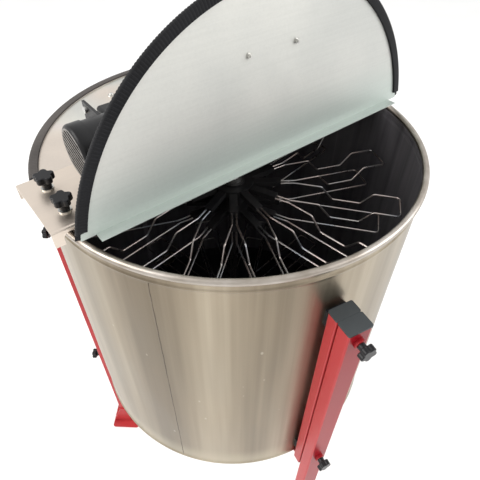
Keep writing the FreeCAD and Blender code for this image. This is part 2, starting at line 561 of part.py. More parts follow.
def bevel(teeth, pitch_rad, other_rad, bore_rad, hub_rad, hub_back, first):
    """Straight bevel gear: apex at the origin, axis +Z away from the apex."""
    delta = math.atan2(pitch_rad, other_rad)
    nv = teeth / math.cos(delta)
    rv = m * nv / 2
    rb = rv * math.cos(math.radians(20))

    def inv(a):
        return math.tan(a) - a
    def half(rho):
        rr = max(rho, rb)
        return math.pi / (2 * nv) + inv(math.radians(20)) - inv(math.acos(min(1.0, rb / rr))) - 0.11 / rv
    adds = [-1.25 * m - 0.4, -0.75 * m, -0.3 * m, 0.0, 0.45 * m, 0.88 * m]
    def corner(h, side, azi, k):
        rho = rv + h
        psi = half(rho) * side
        up, across = rho * math.cos(psi) - rv, rho * math.sin(psi)
        er = Vector(math.cos(azi), math.sin(azi), 0)
        et = Vector(-math.sin(azi), math.cos(azi), 0)
        ea = Vector(0, 0, 1)
        p = (er * math.sin(delta) + ea * math.cos(delta)) * L + (er * math.cos(delta) - ea * math.sin(delta)) * up + et * across
        return p * k
    def loop(azi, k):
        return [corner(h, -1, azi, k) for h in adds] + [corner(h, 1, azi, k) for h in reversed(adds)]
    def foot(k):
        h = -1.25 * m
        rr = (L * math.sin(delta) + h * math.cos(delta)) * k
        zz = (L * math.cos(delta) - h * math.sin(delta)) * k
        return rr, zz
    (ra, za), (rbk, zb) = foot(1.0), foot(scale)
    n = int(teeth)

    bigs, smalls = [], []
    for i in range(n):
        azi = first + 2 * math.pi * i / teeth
        bigs.append(loop(azi, 1.0))
        smalls.append(loop(azi, scale))

    def at(p, rad, z):
        a = math.atan2(p.y, p.x)
        return Vector(rad * math.cos(a), rad * math.sin(a), z)

    def flat(points):
        return Part.Face(Part.makePolygon(list(points) + [points[0]]))

    low, up, rim_small = [], [], []
    for b, s in zip(bigs, smalls):
        for e in (0, -1):
            low.append(at(b[e], hub_rad, za + 3))
            up.append(at(b[e], hub_rad, hub_back))
            rim_small.append(s[e])
    root = [b[e] for b in bigs for e in (0, -1)]
    faces = [flat(up), flat(rim_small)]
    for b, s in zip(bigs, smalls):
        faces += [flat(b), flat(s)]
        for q in range(len(b) - 1):
            faces.append(flat([b[q], b[q + 1], s[q + 1], s[q]]))
    k = len(root)
    for q in range(k):
        w = (q + 1) % k
        if q % 2:
            faces.append(flat([root[q], root[w], rim_small[w], rim_small[q]]))
        faces.append(flat([root[q], root[w], low[w], low[q]]))
        faces.append(flat([low[q], low[w], up[w], up[q]]))
    shell = Part.Shell(faces)
    shell.sewShape()
    body = Part.Solid(shell)
    if body.Volume < 0:
        body.reverse()
    return body.cut(Part.makeCylinder(bore_rad, 200, Vector(0, 0, -50)))


# wheel below the apex: local +Z turned to -Z; a gap of the wheel faces -X
wheel = bevel(z2, r2, r1, D["shaft_rad"], 20.0, ax_z - (bz + D["house_tall"]) - 1.5, math.pi / z2)
node("bevel_wheel", free(wheel, Placement(Vector(0, 0, ax_z), Rotation(Vector(1, 0, 0), 180))))
# pinion to the left of the apex: local +Z turned to -X; a tooth faces -Z
pin_g = bevel(z1, r1, r2, D["pshaft_rad"], 10.5, 57.0, 0.0)
node("bevel_pinion", free(pin_g, Placement(Vector(0, 0, ax_z), Rotation(Vector(0, 1, 0), -90))))
node("pinion_shaft", xcyl("pshaft_rad", -D["motor_left"] - 11, -29))
fan = [xcyl("12", -D["vent_left"] + 4.5, -D["motor_left"] - 0.6)]
for a in range(0, 360, 45):
    fan.append(box("motor_left*0+8", "1.6", "24", Placement(Vector(-D["vent_left"] + 5, 0, ax_z), Rotation(Vector(1, 0, 0), a)).multiply(pl(0, -0.8, 11))))
node("motor_fan", cut(fuse(fan), [xcyl("pshaft_rad", -D["vent_left"] - 5, -D["motor_left"] + 5)]))

cw = D["cover_wide"] / 2
cx0, cx1 = -D["block_from"] + 0.5, 52.0
cov = cut(soften(box("%.3f" % (cx1 - cx0), "cover_wide", "cover_tall", pl(cx0, -cw, bz)), (1, 0, 0), 6.0, lambda p: p.z > bz + 5),
          [box("%.3f-2*cover_t" % (cx1 - cx0), "cover_wide-2*cover_t", "cover_tall", pl(cx0 + D["cover_t"], -cw + D["cover_t"], bz - D["cover_t"])),
           box("10", "30", "%.3f" % (ax_z - bz), pl(cx0 - 5, -15, bz - 1)),
           xcyl("15", cx0 - 5, cx0 + 5)])
node("gear_cover", cov)

shaft_bot = cup_z + D["cup_floor"] + 0.3
node("main_shaft", cyl("shaft_rad", "%.3f" % (bz + 34 - shaft_bot), pl(z=shaft_bot)))


# ---------------------------------------------------------------- basket
def hub(zs, z0, z1_):
    items = [cyl("hub_boss_rad", "%.3f" % (z1_ - z0), pl(z=z0))]
    for z in zs:
        items.append(cyl("hub_boss_rad+16", "hub_arm_tall+2", pl(z=z - D["hub_arm_tall"] / 2 - 1)))
        for i in range(12):
            a = D["socket_turn"] + 30 * i
            items.append(box("socket_rad-10", "hub_arm_wide", "hub_arm_tall", Placement(Vector(0, 0, 0), Rotation(Vector(0, 0, 1), a)).multiply(pl(10, -D["hub_arm_wide"] / 2, z - D["hub_arm_tall"] / 2))))
    return cut(fuse(items), [cyl("shaft_rad", "200", pl(z=z0 - 50))])


zu, zd, zr = rim - D["loop_drop"], rim - D["dip_drop"], rim - D["rest_drop"]
zl, zb_ = base_z + D["low_loop_up"], base_z + D["low_rest_up"]
node("upper_hub", hub((zu, zr), zr - 9, zu + 9))
node("lower_hub", hub((zl, zb_), zb_ - 9, zl + 9))
c15, s15 = math.cos(math.radians(15)), math.sin(math.radians(15))
ins = D["socket_rad"] - 9


def half_path(z):
    """Socket to the straight side of a loop, in the loop's own axes."""
    nx, ny = s15, c15
    a = (ins * c15 + 4 * nx, -ins * s15 + 4 * ny, z)
    b = (116 * c15 + 4 * nx, -116 * s15 + 4 * ny, z)
    return a, b


def loop_set(z, end, dipped):
    a, b = half_path(z)
    y = b[1]
    side = [a, b]
    if dipped:
        side += [(162, y, z), (185, y, zd), (236, y, zd), (257, y, z)]
    side += [(end, y, z)]
    pts = side + [(p[0], -p[1], p[2]) for p in reversed(side)]
    shape = rod(pts, 7.0, D["wire_rad"])
    out = []
    for i in range(12):
        o = free(shape, Placement(Vector(0, 0, 0), Rotation(Vector(0, 0, 1), D["socket_turn"] + 15 + 30 * i)))
        out.append(o)
    return out


node("upper_loops", group(loop_set(zu, D["loop_end"], True)))
node("upper_rests", group(loop_set(zr, D["rest_end"], False)))
node("lower_loops", group(loop_set(zl, D["loop_end"], False)))
node("lower_rests", group(loop_set(zb_, D["rest_end"], False)))
cols = [cut(cyl("shaft_rad+7", "10", pl(z=z)), [cyl("shaft_rad", "40", pl(z=z - 10))]) for z in (zu + 9, zr - 19, zl + 9, zb_ - 19)]
node("hub_collars", group(cols))

# ---------------------------------------------------------------- lids (drawn closed on the -Y side)
pz = rim + D["pin_up"]
py = -D["pin_y"]
lz0 = rim + D["lid_up"]


def lid_parts():
    ch = D["lid_chord"]
    disc = cyl("lid_rad", "lid_t", pl(z=lz0 - D["lid_t"] / 2))
    keep = box("800", "400", "200", pl(-400, -ch - 400, lz0 - 100))
    panel = common(disc, keep)
    fl_ = box("2*lid_flange_half", "lid_t", "lid_flange", pl(-D["lid_flange_half"], -ch - D["lid_t"], lz0 - D["lid_flange"]))
    panel = fuse([panel, fl_])
    ring = cut(cyl("trim_rad", "trim_t", pl(z=lz0 - D["trim_t"] / 2)),
               [cyl("trim_in", "trim_t*3", pl(z=lz0 - D["trim_t"] * 1.5)), cyl("lid_rad", "lid_t", pl(z=lz0 - D["lid_t"] / 2))])
    keep2 = box("800", "400", "200", pl(-400, -ch - 400, lz0 - 100))
    low_lip = box("800", "77.5+10", "20", pl(-400, -77.5, lz0 - D["lid_t"] / 2 - 20))
    trim = cut(common(ring, keep2), [low_lip])
    hx, hy, hu = D["handle_x"], -D["handle_y"], D["handle_up"]
    zt = lz0 + D["lid_t"] / 2
    bow = free(rod([(-hx, hy, zt), (-hx, hy, zt + hu), (hx, hy, zt + hu), (hx, hy, zt)], 14.0, D["handle_rad"]))
    plates = [cyl("handle_rad+4", "3", pl(s * hx, hy, zt)) for s in (-1, 1)]
    handle = fuse([bow] + plates)
    zbm = lz0 - D["lid_t"] / 2
    nuts = []
    for s in (-1, 1):
        hexn = prism([(s * hx + 3.6 * math.cos(math.radians(60 * q)), hy + 3.6 * math.sin(math.radians(60 * q))) for q in range(6)], "3.2", pl(z=zbm - 4.2))
        nuts.append(fuse([cyl("4.5", "1.2", pl(s * hx, hy, zbm - 1.2)), hexn, cyl("1.8", "3", pl(s * hx, hy, zbm - 6.0))]))
    leaves = []
    kr = D["knuckle_rad"]
    kl = D["knuckle_long"]
    for s in (-1, 1):
        x0 = s * D["hinge_x"]
        foot_ = box("3*knuckle_long", "26", "leaf_t", pl(x0 - 1.5 * kl, py - kr - 26 + 1, zt))
        up = box("3*knuckle_long", "leaf_t", "%.3f" % (pz - zt), pl(x0 - 1.5 * kl, py - kr, zt))
        rolls = [cyl("knuckle_rad", "knuckle_long-0.3", pl(x0 - 1.5 * kl, py, pz, **XN)), cyl("knuckle_rad", "knuckle_long-0.3", pl(x0 + 0.5 * kl + 0.3, py, pz, **XN))]
        gap = box("knuckle_long+0.6", "3*knuckle_rad", "4*knuckle_rad", pl(x0 - 0.5 * kl - 0.3, py - kr - 0.6, pz - kr - 1.0))
        lf = cut(fuse([foot_, up] + rolls), [gap, cyl("pin_rad+fit_gap", "80", pl(x0 - 40, py, pz, **XN))])
        rivets = [cyl("3.6", "1.8", pl(x0 + q, py - kr - 14, zt + D["leaf_t"])) for q in (-14, 14)]
        leaves.append(fuse([lf] + rivets))
    return panel, trim, handle, nuts, leaves


def bridge_leaf():
    out, pins = [], []
    kr, kl = D["knuckle_rad"], D["knuckle_long"]
    for s in (-1, 1):
        x0 = s * D["hinge_x"]
        flat = box("3*knuckle_long", "26", "leaf_t", pl(x0 - 1.5 * kl, -by - 0.5, bz))
        arm = box("knuckle_long", "16", "leaf_t", pl(x0 - 0.5 * kl, py, bz))
        roll = cyl("knuckle_rad", "knuckle_long", pl(x0 - 0.5 * kl, py, pz, **XN))
        out.append(cut(fuse([flat, arm, roll]), [cyl("pin_rad", "80", pl(x0 - 40, py, pz, **XN))]))
        pins.append(cyl("pin_rad", "3*knuckle_long+4", pl(x0 - 1.5 * kl - 2, py, pz, **XN)))
    return out, pins


open_ = Placement(Vector(0, 0, 0), Rotation(), Vector(0, 0, 0))
swing = Placement(Vector(0, py, pz), Rotation(Vector(1, 0, 0), -D["lid_open_deg"])).multiply(Placement(Vector(0, -py, -pz), Rotation()))
panel, trim, handle, nuts, leaves = lid_parts()
node("front_lid_panel", panel, swing)
node("front_lid_trim", trim, swing)
node("front_lid_handle", handle, swing)
node("front_lid_nuts", group(nuts), swing)
node("front_lid_leaves", group(leaves), swing)
panel, trim, handle, nuts, leaves = lid_parts()
node("rear_lid_panel", mirror_y(panel))
node("rear_lid_trim", mirror_y(trim))
node("rear_lid_handle", mirror_y(handle))
node("rear_lid_nuts", mirror_y(group(nuts)))
node("rear_lid_leaves", mirror_y(group(leaves)))
out, pins = bridge_leaf()
out2, pins2 = bridge_leaf()
node("bridge_hinge_leaves", group(out + [mirror_y(o) for o in out2]))
node("hinge_pins", group(pins + [mirror_y(o) for o in pins2]))

doc.recompute()
bad = [o.Name for o in doc.Objects if ("Invalid" in o.State or "Error" in o.State)]
if bad:
    raise RuntimeError("objects that failed: " + ", ".join(bad))
for label, obj in NODES.items():
    s = obj.Shape
    if s.isNull() or not s.isValid() or not s.Solids:
        raise RuntimeError("bad shape: " + label)
if len(NODES) > 60:
    raise RuntimeError("too many nodes: %d" % len(NODES))
os.makedirs("parts", exist_ok=True)
for label, obj in NODES.items():
    obj.Shape.exportStep("parts/%s.step" % label)
    b = obj.Shape.BoundBox
    print("%-26s solids %3d  vol %10.1f  x %8.1f %8.1f  y %8.1f %8.1f  z %8.1f %8.1f" % (label, len(obj.Shape.Solids), obj.Shape.Volume, b.XMin, b.XMax, b.YMin, b.YMax, b.ZMin, b.ZMax))
print("nodes", len(NODES))
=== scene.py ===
import math

import bmesh
import bpy
from mathutils import Matrix, Vector


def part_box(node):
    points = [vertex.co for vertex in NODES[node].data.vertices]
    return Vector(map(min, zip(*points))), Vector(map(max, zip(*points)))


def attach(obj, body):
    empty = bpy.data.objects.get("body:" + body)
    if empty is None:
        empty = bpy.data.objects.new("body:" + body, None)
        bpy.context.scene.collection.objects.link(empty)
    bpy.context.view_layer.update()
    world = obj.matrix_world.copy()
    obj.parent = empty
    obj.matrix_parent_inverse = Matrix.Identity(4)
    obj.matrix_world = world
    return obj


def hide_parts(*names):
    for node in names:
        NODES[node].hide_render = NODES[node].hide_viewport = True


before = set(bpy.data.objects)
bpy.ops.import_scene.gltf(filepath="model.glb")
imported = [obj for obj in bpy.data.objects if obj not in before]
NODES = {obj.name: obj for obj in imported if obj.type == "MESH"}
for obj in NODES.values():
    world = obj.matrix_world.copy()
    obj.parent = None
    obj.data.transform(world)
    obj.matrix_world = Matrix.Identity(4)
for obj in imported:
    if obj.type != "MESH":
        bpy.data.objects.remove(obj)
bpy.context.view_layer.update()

scene = bpy.context.scene
scene.view_settings.view_transform = "Standard"

MM = 0.001
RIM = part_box("drum_wall")[1].z
BASE = RIM - 0.603
AXIS_Z = RIM + 0.073


# ------------------------------------------------------------------ node kit
def new_mat(label):
    m = bpy.data.materials.new(label)
    m.use_nodes = True
    nt = m.node_tree
    nt.nodes.clear()
    out = nt.nodes.new("ShaderNodeOutputMaterial")
    bs = nt.nodes.new("ShaderNodeBsdfPrincipled")
    nt.links.new(bs.outputs["BSDF"], out.inputs["Surface"])
    return m, nt, bs


def put(nt, socket, value):
    if isinstance(value, bpy.types.NodeSocket):
        nt.links.new(value, socket)
    elif isinstance(value, (tuple, list)) and len(value) == 3 and socket.type == "RGBA":
        socket.default_value = (*value, 1.0)
    else:
        socket.default_value = value


def co(nt):
    return nt.nodes.new("ShaderNodeTexCoord").outputs["Object"]


def mapped(nt, vec, loc=(0, 0, 0), rot=(0, 0, 0), scale=(1, 1, 1)):
    n = nt.nodes.new("ShaderNodeMapping")
    nt.links.new(vec, n.inputs["Vector"])
    n.inputs["Location"].default_value = loc
    n.inputs["Rotation"].default_value = rot
    n.inputs["Scale"].default_value = scale
    return n.outputs["Vector"]


def noise(nt, vec, scale, detail=4.0, rough=0.5, distort=0.0):
    n = nt.nodes.new("ShaderNodeTexNoise")
    nt.links.new(vec, n.inputs["Vector"])
    n.inputs["Scale"].default_value = scale
    n.inputs["Detail"].default_value = detail
    n.inputs["Roughness"].default_value = rough
    n.inputs["Distortion"].default_value = distort
    return n.outputs["Fac"]


def voro(nt, vec, scale, feature="F1", smooth=None):
    n = nt.nodes.new("ShaderNodeTexVoronoi")
    n.feature = feature
    nt.links.new(vec, n.inputs["Vector"])
    n.inputs["Scale"].default_value = scale
    return n.outputs["Distance"]


def mth(nt, op, a, b=None, c=None, clamp=False):
    n = nt.nodes.new("ShaderNodeMath")
    n.operation = op
    n.use_clamp = clamp
    put(nt, n.inputs[0], a)
    if b is not None:
        put(nt, n.inputs[1], b)
    if c is not None:
        put(nt, n.inputs[2], c)
    return n.outputs[0]


def sep(nt, vec):
    n = nt.nodes.new("ShaderNodeSeparateXYZ")
    nt.links.new(vec, n.inputs[0])
    return n.outputs


def comb(nt, x, y, z):
    n = nt.nodes.new("ShaderNodeCombineXYZ")
    for i, v in enumerate((x, y, z)):
        put(nt, n.inputs[i], v)
    return n.outputs[0]


def span(nt, value, a, b, lo=0.0, hi=1.0, smooth=True):
    n = nt.nodes.new("ShaderNodeMapRange")
    n.interpolation_type = "SMOOTHSTEP" if smooth else "LINEAR"
    n.clamp = True
    put(nt, n.inputs["Value"], value)
    n.inputs["From Min"].default_value = a
    n.inputs["From Max"].default_value = b
    n.inputs["To Min"].default_value = lo
    n.inputs["To Max"].default_value = hi
    return n.outputs["Result"]


def ramp(nt, fac, stops, mode="LINEAR"):
    n = nt.nodes.new("ShaderNodeValToRGB")
    n.color_ramp.interpolation = mode
    el = n.color_ramp.elements
    while len(el) > 1:
        el.remove(el[-1])
    for i, (pos, col) in enumerate(stops):
        e = el[0] if i == 0 else el.new(pos)
        e.position = pos
        c = (col, col, col) if not isinstance(col, (tuple, list)) else col
        e.color = (*c, 1.0)
    put(nt, n.inputs["Fac"], fac)
    return n.outputs["Color"]


def mix(nt, fac, a, b, mode="MIX"):
    n = nt.nodes.new("ShaderNodeMix")
    n.data_type = "RGBA"
    n.blend_type = mode
    n.clamp_factor = True
    put(nt, n.inputs[0], fac)
    put(nt, n.inputs[6], a)
    put(nt, n.inputs[7], b)
    return n.outputs[2]


def bump(nt, height, dist, strength=1.0, normal=None):
    n = nt.nodes.new("ShaderNodeBump")
    n.inputs["Strength"].default_value = strength
    n.inputs["Distance"].default_value = dist
    put(nt, n.inputs["Height"], height)
    if normal is not None:
        nt.links.new(normal, n.inputs["Normal"])
    return n.outputs["Normal"]


def normal_of(nt):
    return nt.nodes.new("ShaderNodeNewGeometry").outputs["Normal"]


def pointiness_mask(nt):
    """Pointiness: above 0.5 on outer edges, below in creases."""
    return nt.nodes.new("ShaderNodeNewGeometry").outputs["Pointiness"]


def srgb(r, g, b):
    def lin(v):
        v = v / 255.0
        return v / 12.92 if v <= 0.04045 else ((v + 0.055) / 1.055) ** 2.4
    return (lin(r), lin(g), lin(b))


# ------------------------------------------------------------------ materials
def mat_drum():
    """Polished rolled sheet: slow vertical bands of polish, fine rolling lines, handling haze."""
    m, nt, bs = new_mat("drum_polish")
    p = co(nt)
    zz = sep(nt, p)[2]
    # the polish varies slowly round the drum; what it reflects is left to the lights
    band = noise(nt, mapped(nt, p, loc=(0.7, 0.2, 0.0), scale=(13, 13, 0.6)), 1.0, 3.0, 0.55)
    tone = ramp(nt, band, [(0.32, (0.205, 0.168, 0.122)), (0.50, (0.325, 0.274, 0.205)), (0.68, (0.470, 0.408, 0.318))])
    lines = noise(nt, mapped(nt, p, scale=(260, 260, 3.0)), 1.0, 3.0, 0.6)
    streak = noise(nt, mapped(nt, p, scale=(34, 34, 0.9)), 1.0, 4.0, 0.55)
    haze = noise(nt, mapped(nt, p, scale=(9, 9, 5)), 1.0, 5.0, 0.55, 0.3)
    tone = mix(nt, 0.55, tone, ramp(nt, streak, [(0.28, (0.74, 0.73, 0.71)), (0.5, (1, 1, 1)), (0.74, (1.0, 1.0, 1.0))]), "MULTIPLY")
    tone = mix(nt, 0.35, tone, ramp(nt, lines, [(0.3, (0.84, 0.83, 0.82)), (0.6, (1, 1, 1))]), "MULTIPLY")
    tone = mix(nt, 0.40, tone, ramp(nt, haze, [(0.3, (0.84, 0.86, 0.86)), (0.62, (1.0, 0.985, 0.96))]), "MULTIPLY")
    # a lighter, dustier foot and a hint of handling marks
    foot = span(nt, zz, BASE + 0.012, BASE + 0.07, 1.0, 0.0)
    tone = mix(nt, mth(nt, "MULTIPLY", foot, 0.35), tone, (0.62, 0.56, 0.43))
    spots = voro(nt, mapped(nt, p, scale=(1, 1, 0.6)), 26.0)
    spot = span(nt, spots, 0.035, 0.075, 1.0, 0.0)
    tone = mix(nt, mth(nt, "MULTIPLY", spot, 0.22), tone, (0.86, 0.82, 0.72))
    put(nt, bs.inputs["Base Color"], tone)
    bs.inputs["Metallic"].default_value = 1.0
    r = mth(nt, "MULTIPLY_ADD", haze, 0.14, 0.19)
    r = mth(nt, "MULTIPLY_ADD", lines, 0.07, r)
    r = mth(nt, "MULTIPLY_ADD", band, 0.12, r)
    put(nt, bs.inputs["Roughness"], r)
    wav = noise(nt, mapped(nt, p, scale=(10, 10, 2.2)), 1.0, 2.0, 0.4)
    nrm = bump(nt, wav, 0.0042, 0.55)
    nrm = bump(nt, lines, 0.00006, 0.35, nrm)
    put(nt, bs.inputs["Normal"], nrm)
    return m


def mat_inner():
    """Inside of the drum: the same sheet with its deep shade painted into a dark base colour, with faint wipe marks."""
    m, nt, bs = new_mat("drum_inner")
    p = co(nt)
    zz = sep(nt, p)[2]
    fog = noise(nt, mapped(nt, p, scale=(7, 7, 3)), 1.0, 4.0, 0.55, 0.6)
    fine = noise(nt, mapped(nt, p, scale=(120, 120, 5)), 1.0, 3.0)
    # painted shade: the sheet's colour is darkened to stand in for the deep shade inside the drum
    col = ramp(nt, fog, [(0.3, (0.105, 0.100, 0.108)), (0.55, (0.150, 0.142, 0.152)), (0.8, (0.205, 0.195, 0.205))])
    wipe = noise(nt, mapped(nt, p, scale=(46, 46, 1.6)), 1.0, 4.0, 0.6)
    col = mix(nt, 0.8, col, ramp(nt, wipe, [(0.34, (0.62, 0.62, 0.64)), (0.52, (1, 1, 1)), (0.70, (1.0, 1.0, 1.0))]), "MULTIPLY")
    col = mix(nt, span(nt, wipe, 0.60, 0.74, 0.0, 0.55), col, (0.36, 0.34, 0.36))
    # close under the rim the painted shade gives way to a lighter band near the plain sheet colour
    lip = span(nt, zz, RIM - 0.014, RIM - 0.004, 0.0, 1.0)
    col = mix(nt, lip, col, (0.34, 0.31, 0.27))
    put(nt, bs.inputs["Base Color"], col)
    bs.inputs["Metallic"].default_value = 0.15
    bs.inputs["Specular IOR Level"].default_value = 0.35
    put(nt, bs.inputs["Roughness"], mth(nt, "MULTIPLY_ADD", fine, 0.20, 0.30))
    put(nt, bs.inputs["Normal"], bump(nt, fine, 0.0001, 0.4))
    return m


def mat_sheet(label, light, dark, rough=0.32, lines=(220, 4, 220), line_amt=0.4, haze_scale=7.0, bumpy=0.00005, metal=1.0, warm=None):
    """Satin or brushed sheet metal. lines gives the scale of the grain along x, y and z."""
    m, nt, bs = new_mat(label)
    p = co(nt)
    grain = noise(nt, mapped(nt, p, scale=lines), 1.0, 4.0, 0.6)
    haze = noise(nt, p, haze_scale, 4.0, 0.55, 0.5)
    col = ramp(nt, haze, [(0.28, dark), (0.62, light)])
    if warm is not None:
        patch = noise(nt, mapped(nt, p, loc=(0.3, 0.1, 0)), haze_scale * 0.6, 2.0, 0.4)
        col = mix(nt, span(nt, patch, 0.45, 0.68), col, warm)
    col = mix(nt, line_amt, col, ramp(nt, grain, [(0.3, (0.80, 0.80, 0.80)), (0.62, (1, 1, 1))]), "MULTIPLY")
    edge = span(nt, pointiness_mask(nt), 0.52, 0.60)
    col = mix(nt, mth(nt, "MULTIPLY", edge, 0.35), col, (0.92, 0.90, 0.86))
    put(nt, bs.inputs["Base Color"], col)
    bs.inputs["Metallic"].default_value = metal
    put(nt, bs.inputs["Roughness"], mth(nt, "MULTIPLY_ADD", grain, 0.14, rough - 0.05))
    put(nt, bs.inputs["Normal"], bump(nt, grain, bumpy, 0.5))
    return m


def mat_wire():
    m, nt, bs = new_mat("wire_polish")
    p = co(nt)
    n = noise(nt, p, 90.0, 3.0)
    big = noise(nt, p, 14.0, 2.0)
    col = ramp(nt, big, [(0.30, (0.34, 0.37, 0.41)), (0.46, (0.47, 0.44, 0.42)), (0.58, (0.52, 0.44, 0.41)), (0.72, (0.36, 0.37, 0.39))])
    put(nt, bs.inputs["Base Color"], col)
    bs.inputs["Metallic"].default_value = 1.0
    put(nt, bs.inputs["Roughness"], mth(nt, "MULTIPLY_ADD", n, 0.14, 0.22))
    put(nt, bs.inputs["Normal"], bump(nt, n, 0.00005, 0.4))
    return m


def mat_red():
    """Glossy red powder coat: orange peel, lighter edges (rubbed coat and a painted edge highlight), a little dust low
    down.
    """
    m, nt, bs = new_mat("red_coat")
    p = co(nt)
    peel = noise(nt, p, 520.0, 2.0, 0.5)
    cloud = noise(nt, mapped(nt, p, scale=(6, 6, 2.5)), 1.0, 4.0, 0.55)
    col = ramp(nt, cloud, [(0.3, (0.25, 0.005, 0.011)), (0.6, (0.32, 0.008, 0.015)), (0.8, (0.37, 0.014, 0.020))])
    # lighter edges: partly rubbed coat, partly a painted edge highlight
    edge = span(nt, pointiness_mask(nt), 0.515, 0.58)
    col = mix(nt, mth(nt, "MULTIPLY", edge, 0.5), col, (0.62, 0.06, 0.06))
    zz = sep(nt, p)[2]
    dust = mth(nt, "MULTIPLY", span(nt, zz, 0.0, 0.16, 1.0, 0.0), noise(nt, p, 60.0, 4.0, 0.6))
    col = mix(nt, mth(nt, "MULTIPLY", dust, 0.10), col, (0.42, 0.16, 0.14))
    put(nt, bs.inputs["Base Color"], col)
    bs.inputs["Metallic"].default_value = 0.0
    put(nt, bs.inputs["Roughness"], mth(nt, "MULTIPLY_ADD", cloud, 0.14, 0.30))
    bs.inputs["Specular IOR Level"].default_value = 0.20
    bs.inputs["Coat Weight"].default_value = 0.03
    bs.inputs["Coat Roughness"].default_value = 0.18
    put(nt, bs.inputs["Normal"], bump(nt, peel, 0.00012, 0.35))
    return m


def mat_plastic(label, dark, light, rough=0.42, grain=900.0, bumpy=0.00010, edge_amt=0.4, spec=0.5):
    """Moulded plastic: fine spark texture, slightly rubbed edges."""
    m, nt, bs = new_mat(label)
    p = co(nt)
    g = noise(nt, p, grain, 2.0, 0.6)
    cloud = noise(nt, p, 22.0, 4.0, 0.55)
    col = ramp(nt, cloud, [(0.3, dark), (0.72, light)])
    edge = span(nt, pointiness_mask(nt), 0.52, 0.60)
    lift = tuple(min(1.0, c * 2.2 + 0.03) for c in light)
    col = mix(nt, mth(nt, "MULTIPLY", edge, edge_amt), col, lift)
    put(nt, bs.inputs["Base Color"], col)
    put(nt, bs.inputs["Roughness"], mth(nt, "MULTIPLY_ADD", cloud, 0.16, rough - 0.06))
    bs.inputs["Specular IOR Level"].default_value = spec
    put(nt, bs.inputs["Normal"], bump(nt, g, bumpy, 0.4))
    return m


def mat_rubber(label, dark, light, rough=0.62, spec=0.2):
    m, nt, bs = new_mat(label)
    p = co(nt)
    g = noise(nt, p, 700.0, 3.0, 0.6)
    cloud = noise(nt, p, 16.0, 4.0, 0.6)
    bloom = noise(nt, p, 5.0, 2.0, 0.5)
    col = ramp(nt, mth(nt, "MULTIPLY_ADD", bloom, 0.5, mth(nt, "MULTIPLY", cloud, 0.5)), [(0.34, dark), (0.64, light)])
    # painted shade: the creases between the ribs are darkened
    crease = span(nt, pointiness_mask(nt), 0.42, 0.49, 1.0, 0.0)
    col = mix(nt, mth(nt, "MULTIPLY", crease, 0.6), col, tuple(c * 0.35 for c in dark))
    put(nt, bs.inputs["Base Color"], col)
    put(nt, bs.inputs["Roughness"], mth(nt, "MULTIPLY_ADD", cloud, 0.18, rough - 0.08))
    bs.inputs["Specular IOR Level"].default_value = spec
    bs.inputs["Sheen Weight"].default_value = 0.04
    bs.inputs["Sheen Roughness"].default_value = 0.5
    put(nt, bs.inputs["Normal"], bump(nt, g, 0.00015, 0.5))
    return m


def mat_zinc():
    m, nt, bs = new_mat("zinc_plate")
    p = co(nt)
    cells = voro(nt, p, 320.0)
    cloud = noise(nt, p, 40.0, 3.0)
    col = ramp(nt, cloud, [(0.3, (0.46, 0.46, 0.45)), (0.7, (0.72, 0.71, 0.67))])
    col = mix(nt, 0.3, col, ramp(nt, cells, [(0.1, (0.8, 0.8, 0.8)), (0.7, (1, 1, 1))]), "MULTIPLY")
    put(nt, bs.inputs["Base Color"], col)
    bs.inputs["Metallic"].default_value = 1.0
    put(nt, bs.inputs["Roughness"], mth(nt, "MULTIPLY_ADD", cloud, 0.16, 0.26))
    put(nt, bs.inputs["Normal"], bump(nt, cells, 0.00004, 0.4))
    return m


def mat_gear():
    m, nt, bs = new_mat("gear_oiled")
    p = co(nt)
    g = noise(nt, p, 240.0, 3.0)
    cloud = noise(nt, p, 30.0, 4.0, 0.6)
    col = ramp(nt, cloud, [(0.3, (0.08, 0.07, 0.06)), (0.7, (0.27, 0.26, 0.25))])
    put(nt, bs.inputs["Base Color"], col)
    bs.inputs["Metallic"].default_value = 1.0
    put(nt, bs.inputs["Roughness"], mth(nt, "MULTIPLY_ADD", g, 0.15, 0.30))
    put(nt, bs.inputs["Normal"], bump(nt, g, 0.00012, 0.4))
    return m


def mat_lid_inside():
    """Under-face of the lids: pale satin sheet with a soft cloudy sheen."""
    m, nt, bs = new_mat("lid_satin")
    p = co(nt)
    x, y, z = sep(nt, p)
    grain = noise(nt, mapped(nt, p, scale=(6, 300, 300)), 1.0, 3.0, 0.6)
    cloud = noise(nt, mapped(nt, p, scale=(4.2, 3.4, 3.4)), 1.0, 3.0, 0.45, 0.4)
    col = ramp(nt, cloud, [(0.30, srgb(197, 198, 194)), (0.50, srgb(209, 209, 204)), (0.72, srgb(220, 219, 213))])
    teal = span(nt, z, RIM + 0.02, RIM + 0.115, 1.0, 0.0)
    col = mix(nt, mth(nt, "MULTIPLY", teal, 0.75), col, srgb(184, 196, 190))
    fleck = noise(nt, p, 240.0, 2.0, 0.7)
    col = mix(nt, 0.35, col, ramp(nt, fleck, [(0.3, (0.90, 0.90, 0.90)), (0.6, (1, 1, 1))]), "MULTIPLY")
    col = mix(nt, 0.30, col, ramp(nt, grain, [(0.3, (0.86, 0.86, 0.86)), (0.6, (1, 1, 1))]), "MULTIPLY")
    put(nt, bs.inputs["Base Color"], col)
    bs.inputs["Metallic"].default_value = 0.35
    bs.inputs["Specular IOR Level"].default_value = 0.3
    put(nt, bs.inputs["Roughness"], mth(nt, "MULTIPLY_ADD", cloud, 0.10, 0.42))
    put(nt, bs.inputs["Normal"], bump(nt, fleck, 0.00006, 0.4))
    return m


